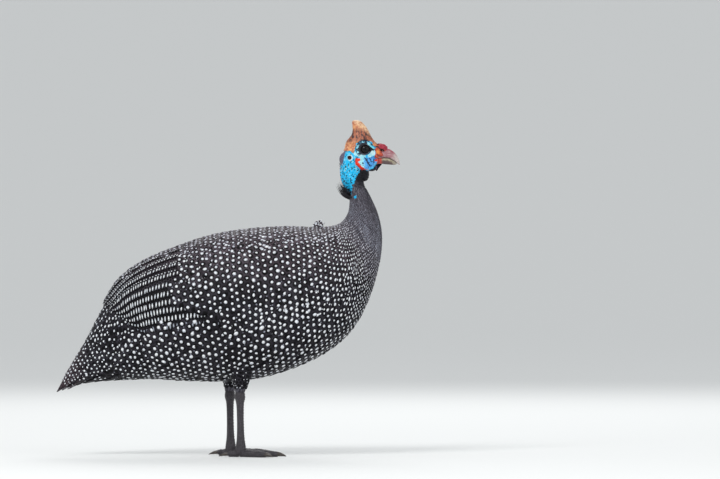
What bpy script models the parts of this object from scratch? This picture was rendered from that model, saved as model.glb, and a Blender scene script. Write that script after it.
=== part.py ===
"""A helmeted guineafowl standing at rest, life size, as a display model in named parts.

Metres, +Z up. The bird faces +X and its left side is +Y. The origin is on the floor at the middle
of the bounding box. The body is one run of sections from the tail tip over the rump, back and neck
to the crown; torso, neck, head and tail are lengths of that run, 0.3 mm apart. Wings, legs, bill,
casque, wattles and eyes are set on it from the same sections.
"""
import math

import bmesh
import bpy
from mathutils import Matrix, Vector

MM = 0.001
GAP = 0.3 * MM
SLIVER = 0.18 * MM
FLOOR = 0.0

# Sections of the body in millimetres, from tail tip to crown. Each is a flat oval between a point
# on the back (x, z) and a point on the belly, throat or face (x, z), with its half width and an
# egg factor: above 0 it is wider at the back edge, below 0 wider at the belly edge.
SECTIONS = (
    (-215.0, 80.0, -211.0, 77.0, 8.0, 0.0),
    (-198.6, 111.0, -186.0, 89.0, 21.0, 0.0),
    (-178.6, 144.0, -153.6, 93.5, 31.0, 0.0),
    (-160.0, 180.0, -123.6, 95.0, 40.0, -0.03),
    (-138.6, 217.0, -95.0, 96.0, 48.0, -0.05),
    (-108.6, 241.0, -62.0, 94.0, 59.0, -0.07),
    (-64.8, 260.0, -28.6, 93.0, 68.0, -0.08),
    (-18.6, 275.0, 6.4, 93.0, 74.0, -0.08),
    (28.9, 282.5, 43.9, 98.0, 76.0, -0.08),
    (72.7, 285.0, 85.2, 110.5, 74.0, -0.07),
    (106.4, 284.0, 122.7, 129.0, 67.0, -0.05),
    (128.9, 285.0, 151.4, 152.5, 56.0, -0.03),
    (141.4, 289.0, 170.2, 182.5, 45.0, 0.0),
    (147.7, 295.5, 182.7, 215.0, 36.5, 0.0),
    (151.2, 304.0, 190.2, 250.0, 30.0, 0.0),
    (152.7, 314.5, 191.4, 278.8, 24.5, 0.0),
    (152.7, 325.0, 186.4, 303.0, 20.0, 0.0),
    (150.0, 335.5, 178.0, 322.5, 16.5, 0.0),
    (145.6, 345.5, 170.2, 338.5, 14.0, 0.0),
    (141.4, 355.0, 170.0, 350.0, 13.2, 0.0),
    (140.2, 363.5, 178.0, 357.5, 14.0, 0.12),
    (141.4, 371.0, 186.0, 364.5, 15.0, 0.24),
    (144.0, 378.0, 188.5, 371.5, 15.5, 0.28),
    (147.5, 385.0, 189.0, 379.5, 15.0, 0.28),
    (153.5, 390.5, 187.0, 387.0, 12.0, 0.20),
    (162.5, 394.0, 180.5, 392.5, 7.0, 0.0),
)
TAIL_CUT = 2.70
NECK_CUT = 12.0
THROAT_CUT = 15.7
NAPE_CUT = 18.6
CROWN = len(SECTIONS) - 1
SIDES = 24

# Wing: where its flesh lies on the body, in sections along and degrees round from the back ridge.
WING_MIDDLE, WING_REACH = 9.0, 2.1
WING_ROUND, WING_SPREAD, WING_SWEEP = 70.0, 38.0, 6.0
WING_DEPTH = 5.5 * MM
VANE_THICK = 0.8 * MM

SECONDARIES = 8
PRIMARIES = 2
# Tiers of coverts: root and tip in sections, first and last place in degrees, count, lift at the tip.
WING_COVERTS = (
    (9.5, 7.2, 39.0, 100.0, 6, 5.0 * MM),
    (10.3, 8.5, 47.0, 95.0, 5, 6.2 * MM),
)

# Tail: how far its flesh reaches, its feathers, and its upper and under coverts as tiers: root and
# tip in sections, places in degrees, count, and how deep under the outline the tips lie.
TAIL_CORE_END = 1.6
TAIL_FEATHERS = 11
TAIL_COVERTS = (
    (2.3, 0.8, 96.0, 7, 0.2 * MM),
    (2.6, 1.55, 112.0, 7, -1.2 * MM),
)
UNDER_TAIL = (
    (2.3, 0.8, 156.0, 204.0, 2, 0.8 * MM),
    (2.6, 1.6, 144.0, 216.0, 3, -0.2 * MM),
)

# Nape plume: rows of locks from the lowest up, with their lengths and radii root to tip.
PLUME_ROOT, PLUME_PITCH, PLUME_ROWS, PLUME_LOCKS = 16.15, 0.45, 3, 5
PLUME_LENGTH = 25.0 * MM
PLUME_RADII = (1.5 * MM, 1.4 * MM, 0.9 * MM, 0.3 * MM)

# Head: eyes, the ring of lid round them, ears and cheeks.
EYE = Vector((171.2, 9.5, 383.2)) * MM
EYE_RADIUS = 6.5 * MM
LID_HALF_LENGTH, LID_HALF_HEIGHT = 5.6 * MM, 5.1 * MM
LID_THICK = 1.15 * MM
LID_OUT = 4.6 * MM
EAR = Vector((152.8, 13.6, 372.6)) * MM
EAR_RIM = (3.0 * MM, 2.0 * MM, 3.0 * MM)
EAR_HOLE = (1.5 * MM, 2.2 * MM, 1.5 * MM)
EAR_HOLE_OUT = 1.6 * MM
CHEEK = Vector((176.5, 9.5, 368.5)) * MM
CHEEK_RADII = (9.0 * MM, 4.6 * MM, 5.5 * MM)
CHEEK_SLOPE = 20.0

# Bill and casque sections as on the body, in millimetres: upper edge, lower edge, half width.
BILL_UPPER = (
    (180.0, 385.0, 180.0, 371.6, 6.8),
    (189.0, 386.0, 188.0, 371.9, 6.6),
    (197.0, 385.4, 196.0, 373.3, 6.0),
    (203.5, 382.8, 202.0, 373.0, 4.9),
    (209.2, 378.3, 206.8, 370.8, 3.6),
    (213.2, 371.5, 210.4, 367.4, 2.2),
    (215.0, 364.2, 214.2, 363.7, 0.7),
)
BILL_LOWER = (
    (180.0, 377.0, 180.0, 363.0, 7.2),
    (188.0, 377.0, 188.5, 365.3, 6.6),
    (196.0, 377.5, 196.5, 364.6, 5.5),
    (202.0, 376.0, 202.0, 364.2, 4.2),
    (206.5, 372.0, 206.5, 363.9, 2.9),
    (209.8, 367.5, 209.6, 363.8, 1.3),
)
# The red skin over the bill's root, its nostril slits, and its warts: place and radius in millimetres.
CERE = Vector((191.5, 0.0, 384.0)) * MM
CERE_RADII = (8.8 * MM, 7.4 * MM, 6.6 * MM)
CERE_SLOPE = 25.0
NOSTRIL = Vector((195.2, 7.2, 380.8)) * MM
NOSTRIL_RADII = (3.0 * MM, 2.4 * MM, 1.2 * MM)
NOSTRIL_SLOPE = 35.0
CERE_LUMPS = (
    (194.6, 2.6, 387.4, 3.7),
    (187.6, 5.8, 379.0, 4.4),
)
CASQUE = (
    (147.0, 379.0, 189.0, 381.0, 11.5),
    (147.8, 387.5, 187.5, 389.0, 11.0),
    (150.8, 393.5, 183.6, 395.0, 9.0),
    (155.0, 399.5, 181.0, 400.0, 7.2),
    (157.4, 405.5, 178.6, 405.5, 5.8),
    (157.6, 411.0, 175.8, 411.0, 4.7),
    (156.8, 415.6, 172.2, 415.6, 3.7),
    (157.8, 418.8, 167.0, 418.8, 2.5),
    (160.8, 420.0, 163.2, 420.0, 1.0),
)

# Wattles: middle, half length, half height, half thickness at the middle, and how each hangs.
WATTLE = Vector((168.5, 17.6, 364.8)) * MM
WATTLE_LENGTH, WATTLE_HEIGHT, WATTLE_THICK = 12.5 * MM, 6.6 * MM, 1.45 * MM
WATTLE_DROOP, WATTLE_FLARE, WATTLE_TURN = 26.0, 14.0, 16.0

# Legs. The right one, nearer the viewer, stands a little ahead of the left.
HOCK_SPREAD, FOOT_SPREAD = 31.0 * MM, 30.0 * MM
HOCK_AHEAD = {"right": 15.5 * MM, "left": 1.5 * MM}
HOCK_HEIGHT = 80.0 * MM
ANKLE_HEIGHT = 14.0 * MM
SHANK_LEAN = 1.0 * MM
HIP_FROM_HOCK = Vector((6.0, 3.0, 66.0)) * MM
# Radii of the thigh and the shank at shares of their length.
THIGH = ((0.0, 27.0 * MM), (0.45, 25.0 * MM), (0.72, 16.5 * MM), (0.9, 10.0 * MM), (1.0, 7.2 * MM))
SHANK = (
    (0.0, 5.0 * MM), (0.14, 6.4 * MM), (0.28, 4.6 * MM), (0.6, 4.2 * MM), (0.86, 4.8 * MM), (1.0, 6.0 * MM),
)
SHANK_OVERLAP = 4.0 * MM
# The foot's hub, as distances below the ankle and radii.
HUB = ((0.0, 5.9 * MM), (5.0 * MM, 6.9 * MM), (13.0 * MM, 6.0 * MM))
TOES = (
    ("middle", 0.0, 46.0 * MM, 4.5 * MM),
    ("inner", -33.0, 34.0 * MM, 4.2 * MM),
    ("outer", 31.0, 37.0 * MM, 4.2 * MM),
    ("hind", 176.0, 17.0 * MM, 3.6 * MM),
)
TOE_RISE = 3.7 * MM
# Share of a toe's length and of its radius at each of its joints and pads.
TOE_SWELL = ((0.0, 1.1), (0.36, 1.08), (0.56, 0.92), (0.74, 1.0), (1.0, 0.66))
CLAW_LENGTH = 11.0 * MM
# Share of a claw's length, share of its root radius, and height where it has left the toe's line.
CLAW = ((0.0, 1.0, None), (0.4, 0.9, None), (0.75, 0.6, 2.3 * MM), (1.0, 0.12, 0.75 * MM))
CLAW_ROOT = 0.58


def clear_scene():
    for obj in list(bpy.data.objects):
        bpy.data.objects.remove(obj, do_unlink=True)


def new_collection(name, hidden=False):
    made = bpy.data.collections.new(name)
    bpy.context.scene.collection.children.link(made)
    made.hide_render = hidden
    return made


def material(name, colour, roughness, metallic=0.0):
    made = bpy.data.materials.new(name)
    made.use_nodes = True
    shader = made.node_tree.nodes["Principled BSDF"]
    shader.inputs["Base Color"].default_value = (*colour, 1.0)
    shader.inputs["Roughness"].default_value = roughness
    shader.inputs["Metallic"].default_value = metallic
    made.diffuse_color = (*colour, 1.0)
    return made


def section(table, t):
    """The row of a table of sections at t, by a smooth curve through its rows."""
    last = len(table) - 1
    i = min(max(int(math.floor(t)), 0), last - 1)
    f = t - i
    a, b, c, d = (table[min(max(k, 0), last)] for k in (i - 1, i, i + 1, i + 2))
    return [
        0.5 * (2 * q + (r - p) * f + (2 * p - 5 * q + 4 * r - s) * f * f + (3 * q - p - 3 * r + s) * f ** 3)
        for p, q, r, s in zip(a, b, c, d)
    ]


def point_on(table, t, degrees):
    """A point of a lofted form, degrees round from its back edge."""
    row = section(table, t)
    back_x, back_z, front_x, front_z, half_width = row[:5]
    egg = row[5] if len(row) > 5 else 0.0
    angle = math.radians(degrees)
    reach = math.cos(angle)
    side = math.sin(angle) * (1 + egg * math.cos(angle))
    return Vector((
        ((back_x + front_x) + (back_x - front_x) * reach) / 2,
        half_width * side,
        ((back_z + front_z) + (back_z - front_z) * reach) / 2,
    )) * MM


def body(t, degrees, height=0.0):
    """A point on the bird's outline, or that height above it along its outward normal."""
    here = point_on(SECTIONS, t, degrees)
    if not height:
        return here
    step = 0.02
    run = point_on(SECTIONS, t + step, degrees) - point_on(SECTIONS, t - step, degrees)
    turn = point_on(SECTIONS, t, degrees + 1) - point_on(SECTIONS, t, degrees - 1)
    return here + run.cross(turn).normalized() * height


def add_object(bm, name, where, finish=None, smooth=True):
    """Makes a closed bmesh an object, its faces turned outwards."""
    bmesh.ops.triangulate(bm, faces=bm.faces[:])
    bmesh.ops.recalc_face_normals(bm, faces=bm.faces[:])
    if bm.calc_volume(signed=True) < 0:
        bmesh.ops.reverse_faces(bm, faces=bm.faces[:])
    mesh = bpy.data.meshes.new(name)
    bm.to_mesh(mesh)
    bm.free()
    if smooth:
        mesh.shade_smooth()
    obj = bpy.data.objects.new(name, mesh)
    where.objects.link(obj)
    if finish:
        mesh.materials.append(finish)
    return obj


def loft(name, rings, where, finish=None):
    """A closed solid through rings of points, with a flat cap at each end."""
    bm = bmesh.new()
    loops = [[bm.verts.new(p) for p in ring] for ring in rings]
    for low, high in zip(loops, loops[1:]):
        count = len(low)
        for k in range(count):
            bm.faces.new((low[k], low[(k + 1) % count], high[(k + 1) % count], high[k]))
    bm.faces.new(loops[0])
    bm.faces.new(list(reversed(loops[-1])))
    return add_object(bm, name, where, finish)


def ring_at(table, t, sides):
    return [point_on(table, t, 360.0 * k / sides) for k in range(sides)]


def steps(first, last, count):
    return [first + (last - first) * k / count for k in range(count + 1)]


def body_length(name, first, last, count, where, finish=None, sides=SIDES):
    rings = [ring_at(SECTIONS, t, sides) for t in steps(first, last, count)]
    return loft(name, rings, where, finish)


def past(t, distance):
    """The section place that lies a distance further along the body's middle line."""
    ahead = (body(t + 0.01, 0) + body(t + 0.01, 180)) / 2
    behind = (body(t - 0.01, 0) + body(t - 0.01, 180)) / 2
    return t + 0.02 * distance / (ahead - behind).length


def ball(name, where, centre, radii, turn=0.0, finish=None, rings=10):
    """An egg form turned about Y, in degrees."""
    bm = bmesh.new()
    bmesh.ops.create_uvsphere(bm, u_segments=rings * 2 - 4, v_segments=rings, radius=1.0)
    turned = Matrix.Rotation(math.radians(turn), 4, "Y") @ Matrix.Diagonal((*radii, 1.0))
    bmesh.ops.transform(bm, matrix=Matrix.Translation(centre) @ turned, verts=bm.verts[:])
    return add_object(bm, name, where, finish)


def tube(name, where, path, radii, sides=8, flatten=1.0, finish=None):
    """A round bar through a path of points, with a radius at each; flatten is its height over its width."""
    rings = []
    side = Vector((0, 1, 0))
    for k, here in enumerate(path):
        ahead = path[min(k + 1, len(path) - 1)] - path[max(k - 1, 0)]
        ahead.normalize()
        across = side - ahead * side.dot(ahead)
        if across.length < 0.1:
            across = Vector((1, 0, 0)) - ahead * ahead.x
        across.normalize()
        over = ahead.cross(across)
        side = across
        turns = [2 * math.pi * n / sides for n in range(sides)]
        rings.append([
            here + radii[k] * (math.cos(turn) * across + flatten * math.sin(turn) * over) for turn in turns
        ])
    return loft(name, rings, where, finish)


def merge_short_edges(obj, distance):
    """Closes up the slivers that unions and cuts leave."""
    bm = bmesh.new()
    bm.from_mesh(obj.data)
    bmesh.ops.dissolve_degenerate(bm, dist=distance, edges=bm.edges[:])
    bmesh.ops.triangulate(bm, faces=bm.faces[:])
    bm.to_mesh(obj.data)
    bm.free()


def evaluated_copy(obj):
    """Applies an object's modifiers to its own mesh."""
    graph = bpy.context.evaluated_depsgraph_get()
    mesh = bpy.data.meshes.new_from_object(obj.evaluated_get(graph))
    obj.modifiers.clear()
    old = obj.data
    obj.data = mesh
    bpy.data.meshes.remove(old)


def keep_largest(obj):
    """Leaves only the closed surface with the most points, which drops scraps and sealed hollows."""
    bm = bmesh.new()
    bm.from_mesh(obj.data)
    left, pieces = set(bm.verts), []
    while left:
        piece, edge_of_it = set(), [left.pop()]
        while edge_of_it:
            vert = edge_of_it.pop()
            piece.add(vert)
            for edge in vert.link_edges:
                other = edge.other_vert(vert)
                if other in left:
                    left.discard(other)
                    edge_of_it.append(other)
        pieces.append(piece)
    if len(pieces) > 1:
        pieces.sort(key=len)
        for piece in pieces[:-1]:
            bmesh.ops.delete(bm, geom=list(piece), context="VERTS")
    bmesh.ops.triangulate(bm, faces=bm.faces[:])
    bm.to_mesh(obj.data)
    bm.free()


def fuse(base, pieces):
    """Joins closed pieces to a base by one union."""
    group = bpy.data.collections.new("joined")
    bpy.context.scene.collection.children.link(group)
    for piece in pieces:
        for holder in list(piece.users_collection):
            holder.objects.unlink(piece)
        group.objects.link(piece)
    union = base.modifiers.new("union", "BOOLEAN")
    union.operation = "UNION"
    union.operand_type = "COLLECTION"
    union.collection = group
    union.solver = "MANIFOLD"
    evaluated_copy(base)
    for piece in pieces:
        bpy.data.objects.remove(piece, do_unlink=True)
    bpy.data.collections.remove(group)
    keep_largest(base)
    return base


def cut(base, cutter, solver="EXACT"):
    carve = base.modifiers.new("cut", "BOOLEAN")
    carve.operation = "DIFFERENCE"
    carve.object = cutter
    carve.solver = solver
    evaluated_copy(base)
    keep_largest(base)
    return base


def grown(obj, where, distance=GAP):
    """A copy of a solid moved outwards by a distance, to cut its neighbours clear of it."""
    bm = bmesh.new()
    bm.from_mesh(obj.data)
    bm.normal_update()
    moved = [v.co + v.normal * distance * v.calc_shell_factor() for v in bm.verts]
    for vert, place in zip(bm.verts, moved):
        vert.co = place
    return add_object(bm, obj.name + "_clearance", where)


def keep_above(obj, height):
    """Cuts a solid flat at a height and closes it."""
    bm = bmesh.new()
    bm.from_mesh(obj.data)
    bmesh.ops.remove_doubles(bm, verts=bm.verts[:], dist=0.00001)
    made = bmesh.ops.bisect_plane(
        bm, geom=bm.verts[:] + bm.edges[:] + bm.faces[:], dist=0.000001,
        plane_co=(0, 0, height), plane_no=(0, 0, 1), clear_inner=True,
    )
    rim = [e for e in made["geom_cut"] if isinstance(e, bmesh.types.BMEdge)]
    bmesh.ops.holes_fill(bm, edges=rim, sides=0)
    bmesh.ops.triangulate(bm, faces=bm.faces[:])
    bmesh.ops.recalc_face_normals(bm, faces=bm.faces[:])
    bm.to_mesh(obj.data)
    bm.free()


def mirrored(obj, name, where, finish=None):
    """A copy of a solid on the bird's other side."""
    bm = bmesh.new()
    bm.from_mesh(obj.data)
    bmesh.ops.transform(bm, matrix=Matrix.Diagonal((1, -1, 1, 1)), verts=bm.verts[:])
    bmesh.ops.reverse_faces(bm, faces=bm.faces[:])
    return add_object(bm, name, where, finish)


def vane(where, run, places, spread, heights, tilt, segments=4, settle=1.0):
    """One flight or covert feather laid over the body.

    run is its root and tip in sections, places the middle of both in degrees from the back ridge,
    spread its half width in degrees, heights its lift over the body at root and tip, and tilt how
    much further out its one edge stands than the other. It reaches its last height at 1 / settle of
    its length. The triangles of both faces match.
    """
    bm = bmesh.new()
    bmesh.ops.create_grid(bm, x_segments=segments, y_segments=2, size=1.0)
    bmesh.ops.triangulate(bm, faces=bm.faces[:], quad_method="FIXED")
    lifted = bmesh.ops.extrude_face_region(bm, geom=bm.faces[:], use_keep_orig=True)
    above = {v for v in lifted["geom"] if isinstance(v, bmesh.types.BMVert)}
    for vert in bm.verts:
        along, across = (vert.co.x + 1) / 2, vert.co.y
        width = 0.6 + 0.4 * math.sin(math.pi * min(1.0, along * 1.2) / 2)
        width *= max(0.22, math.sqrt(1 - along ** 6))
        t = run[0] + (run[1] - run[0]) * along
        degrees = places[0] + (places[1] - places[0]) * along + across * spread * width
        rise = heights[0] + (heights[1] - heights[0]) * min(1.0, along * settle)
        rise += tilt * across / 2 * min(1.0, along * 3)
        vert.co = body(t, degrees, rise + (VANE_THICK if vert in above else 0.0))
    return add_object(bm, "vane", where)


def spread_evenly(first, last, count):
    return [first + (last - first) * k / max(1, count - 1) for k in range(count)]


def wing_flesh(where):
    """The wing's arm and hand: a lens laid on the body, its inner half sunk in to be cut off."""
    bm = bmesh.new()
    bmesh.ops.create_uvsphere(bm, u_segments=14, v_segments=7, radius=1.0)
    for vert in bm.verts:
        along, across, depth = vert.co
        t = WING_MIDDLE + along * WING_REACH
        degrees = WING_ROUND + along * WING_SWEEP * WING_REACH + across * WING_SPREAD
        height = depth * WING_DEPTH if depth > 0 else depth * 3 * MM
        vert.co = body(t, degrees, height if abs(height) > 1e-6 else 1e-6)
    return add_object(bm, "wing_left", where)


def make_wing(where, finish, torso_clearance):
    """One folded wing: long inner flight feathers under two tiers of coverts, and the folded outer ones."""
    wing = wing_flesh(where)
    wing.data.materials.append(finish)
    vanes = []
    for k in range(SECONDARIES):
        share = k / (SECONDARIES - 1)
        vanes.append(vane(
            where, (8.6, 3.35 + 1.0 * share ** 1.5), (42 + 56 * share, 21 + 55 * share), 9.4,
            (1.4 * MM, 2.4 * MM), 2.9 * MM, settle=3,
        ))
    for k in range(PRIMARIES):
        share = k / (PRIMARIES - 1)
        vanes.append(vane(
            where, (8.4, 6.9 - 0.8 * share), (101 + 3 * share, 93 + 5 * share), 5.0,
            (1.2 * MM, (1.8 - 0.9 * share) * MM), 0.8 * MM,
        ))
    for tier, (root, tip, first, last, count, lift) in enumerate(WING_COVERTS):
        for place in spread_evenly(first, last, count):
            vanes.append(vane(
                where, (root, tip), (place, place - 3 + tier), 11.6, (2.0 * MM, lift), 2.5 * MM, segments=3,
            ))
    fuse(wing, vanes)
    cut(wing, torso_clearance)
    return wing


def tail_core_depth(t):
    """How deep the tail's flesh lies under its outline: shallow at the rump, deep at its end."""
    return (2.0 + 8.0 * (TAIL_CUT - t) / (TAIL_CUT - TAIL_CORE_END)) * MM


def make_tail(where, finish, torso_clearance):
    """The tail stub with its feathers: a steep roof of tail feathers under tiers of long coverts."""
    rings = []
    for t in steps(TAIL_CUT + 0.15, TAIL_CORE_END, 3):
        rings.append([body(t, 24.0 * k, -tail_core_depth(t)) for k in range(15)])
    tail = loft("tail", rings, where, finish)
    vanes = []
    for place in spread_evenly(-78, 78, TAIL_FEATHERS):
        root = 2.0
        sunk = -tail_core_depth(root) - 2 * MM
        roof = (place > 1) - (place < -1)
        top = 0.0 if roof else 1.0 * MM
        vanes.append(vane(
            where, (root, 0.02 + 0.4 * abs(place / 78) ** 2), (place, place * 0.95), 13.0,
            (sunk, top - 2.2 * MM), 2.0 * MM * roof, settle=1.8,
        ))
    for root, tip, limit, count, depth in TAIL_COVERTS:
        sunk = -tail_core_depth(root) - 2 * MM
        for place in spread_evenly(-limit, limit, count):
            roof = (place > 1) - (place < -1)
            vanes.append(vane(
                where, (root, tip), (place, place), 0.85 * 2 * limit / (count - 1),
                (sunk, (0.0 if roof else 1 * MM) - depth), 2.0 * MM * roof, settle=2.6, segments=3,
            ))
    for root, tip, first, last, count, depth in UNDER_TAIL:
        sunk = -tail_core_depth(root) - 2 * MM
        for place in spread_evenly(first, last, count):
            heights = (sunk, -depth)
            vanes.append(vane(where, (root, tip), (place, place), 19.0, heights, 0.0, settle=2.6, segments=3))
    fuse(tail, vanes)
    cut(tail, torso_clearance)
    return tail


def make_nape_plume(where):
    """Hair-like nape feathers: flat tapered locks that rise back and up from the hind neck."""
    locks = []
    middle = PLUME_LOCKS // 2
    for row in range(PLUME_ROWS):
        for k in range(PLUME_LOCKS):
            round_place = (k - middle) * 15.0 * (1 - 0.1 * row)
            t = PLUME_ROOT + PLUME_PITCH * row
            root = body(t, round_place, -2.5 * MM)
            skin = body(t, round_place)
            out = (body(t, round_place, 1 * MM) - skin).normalized()
            lie = (out * 0.75 + Vector((-0.25, 0, 0.75))).normalized()
            length = PLUME_LENGTH - (2.5 * row + 2.0 * abs(k - middle)) * MM
            path = [
                root,
                skin + lie * length * 0.4 + out * 1.5 * MM,
                skin + lie * length * 0.8 + Vector((0, 0, 3 * MM)),
                skin + lie * length + Vector((0, 0, 6 * MM)),
            ]
            locks.append(tube("lock", where, path, PLUME_RADII, sides=4, flatten=0.6))
    return locks


def eye_lids(where, side):
    """A raised ring of lid round one eye, drawn out to a corner at front and back."""
    path = []
    count, sides = 14, 5
    for k in range(count):
        angle = 2 * math.pi * k / count
        pointed = 1 + 0.22 * abs(math.cos(angle)) ** 3
        x = math.cos(angle) * LID_HALF_LENGTH * pointed
        z = math.sin(angle) * LID_HALF_HEIGHT
        path.append(EYE + Vector((x, LID_OUT - 0.06 * x, z)))
    rings = []
    for k, here in enumerate(path):
        ahead = (path[(k + 1) % count] - path[k - 1]).normalized()
        across = Vector((0, 1, 0))
        over = ahead.cross(across).normalized()
        turns = [2 * math.pi * n / sides for n in range(sides)]
        rings.append([here + LID_THICK * (math.cos(turn) * across + math.sin(turn) * over) for turn in turns])
    bm = bmesh.new()
    loops = [[bm.verts.new(Vector((p.x, p.y * side, p.z))) for p in ring] for ring in rings]
    for k in range(count):
        low, high = loops[k], loops[(k + 1) % count]
        for n in range(sides):
            bm.faces.new((low[n], low[(n + 1) % sides], high[(n + 1) % sides], high[n]))
    return add_object(bm, "lids", where)


def skull(name, where, finish=None):
    return body_length(name, past(NAPE_CUT, GAP), CROWN, 11, where, finish, sides=20)


def on_side(place, side):
    """A place of the left side, or its mirror image on the right where side is -1."""
    return Vector((place.x, place.y * side, place.z))


def make_head(where, helpers, skin):
    head = skull("head", where, skin)
    extras = []
    for side in (1, -1):
        extras.append(eye_lids(helpers, side))
        extras.append(ball("cheek", helpers, on_side(CHEEK, side), CHEEK_RADII, CHEEK_SLOPE, rings=7))
        extras.append(ball("ear_rim", helpers, on_side(EAR, side), EAR_RIM, rings=6))
    fuse(head, extras)
    socket_radii = (EYE_RADIUS + 1.4 * GAP,) * 3
    ear_hole_place = EAR + Vector((0, EAR_HOLE_OUT, 0))
    for side in (1, -1):
        cut(head, ball("socket", helpers, on_side(EYE, side), socket_radii, rings=9))
        cut(head, ball("ear_hole", helpers, on_side(ear_hole_place, side), EAR_HOLE, rings=6))
    merge_short_edges(head, SLIVER)
    return head


def table_loft(name, table, where, finish=None):
    return loft(name, [ring_at(table, t, 14) for t in range(len(table))], where, finish)


def make_cere(where, helpers, finish, clearances):
    """The red warty skin over the bill's root, with a nostril slit on each side."""
    cere = ball("cere", where, CERE, CERE_RADII, CERE_SLOPE, finish, rings=8)
    lumps = []
    for side in (1, -1):
        for x, y, z, radius in CERE_LUMPS:
            lumps.append(ball("lump", helpers, Vector((x, y * side, z)) * MM, (radius * MM,) * 3, rings=5))
    fuse(cere, lumps)
    for side in (1, -1):
        cut(cere, ball("nostril", helpers, on_side(NOSTRIL, side), NOSTRIL_RADII, NOSTRIL_SLOPE, rings=5))
    for cutter in clearances:
        cut(cere, cutter)
    return cere


def make_wattle(where, finish):
    """The left wattle: a thick-rimmed leaf that hangs back and down from the corner of the mouth."""
    bm = bmesh.new()
    bmesh.ops.create_uvsphere(bm, u_segments=16, v_segments=6, radius=1.0)
    for vert in bm.verts:
        along, across, depth = vert.co
        length = WATTLE_LENGTH * along * (1.0 if along > 0 else 1.05)
        height = WATTLE_HEIGHT * across * (1 - 0.30 * along)
        rim = 0.75 + 0.55 * (along * along + across * across)
        vert.co = Vector((length, depth * WATTLE_THICK * rim, height))
    lie = Matrix.Rotation(math.radians(WATTLE_TURN), 4, "Z")
    lie = lie @ Matrix.Rotation(math.radians(WATTLE_DROOP), 4, "Y")
    lie = lie @ Matrix.Rotation(math.radians(WATTLE_FLARE), 4, "X")
    bmesh.ops.transform(bm, matrix=Matrix.Translation(WATTLE) @ lie, verts=bm.verts[:])
    return add_object(bm, "wattle_left", where, finish)


def make_toe(name, way, knuckle, radius, length, helpers):
    """One toe, level on the floor from under the knuckle out."""
    level = Vector((knuckle.x, knuckle.y, TOE_RISE))
    path = [level + way * length * share for share, _ in TOE_SWELL]
    path[0].z += 1.5 * MM
    return tube(name, helpers, path, [radius * swell for _, swell in TOE_SWELL], sides=8)


def make_claw(name, root, way, radius, where, finish):
    path = [root + way * CLAW_LENGTH * share for share, _, _ in CLAW]
    for here, (_, _, height) in zip(path, CLAW):
        if height is not None:
            here.z = height
    tube(name, where, path, [radius * share for _, share, _ in CLAW], sides=8, finish=finish)


def make_leg(side_name, where, helpers, finishes, torso_clearance):
    side = 1 if side_name == "left" else -1
    hock = Vector((HOCK_AHEAD[side_name], HOCK_SPREAD * side, HOCK_HEIGHT))
    foot = Vector((hock.x + SHANK_LEAN, FOOT_SPREAD * side, ANKLE_HEIGHT))
    lean = (foot - hock).normalized()
    hip = hock + on_side(HIP_FROM_HOCK, side)
    thigh = tube(
        "thigh_" + side_name, where, [hip.lerp(hock, share) for share, _ in THIGH],
        [radius for _, radius in THIGH], sides=16, finish=finishes["thigh"],
    )
    cut(thigh, torso_clearance)
    top = hock - lean * SHANK_OVERLAP
    shank = tube(
        "shank_" + side_name, where, [top.lerp(foot, share) for share, _ in SHANK],
        [radius for _, radius in SHANK], sides=12, finish=finishes["shank"],
    )
    cut(shank, grown(thigh, helpers))
    ankle = foot + lean * GAP
    hub = tube(
        "foot_" + side_name, where, [ankle + lean * down for down, _ in HUB],
        [radius for _, radius in HUB], sides=12, finish=finishes["shank"],
    )
    knuckle = ankle + lean * HUB[1][0]
    toes = []
    for toe_name, degrees, length, radius in TOES:
        heading = math.radians(degrees * (1 if toe_name == "hind" else side))
        way = Vector((math.cos(heading), math.sin(heading), 0))
        toes.append(make_toe("toe", way, knuckle, radius, length, helpers))
        claw_root = Vector((knuckle.x, knuckle.y, TOE_RISE)) + way * (length + GAP)
        make_claw(f"claw_{toe_name}_{side_name}", claw_root, way, radius * CLAW_ROOT, where, finishes["claw"])
    fuse(hub, toes)
    keep_above(hub, FLOOR)


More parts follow.
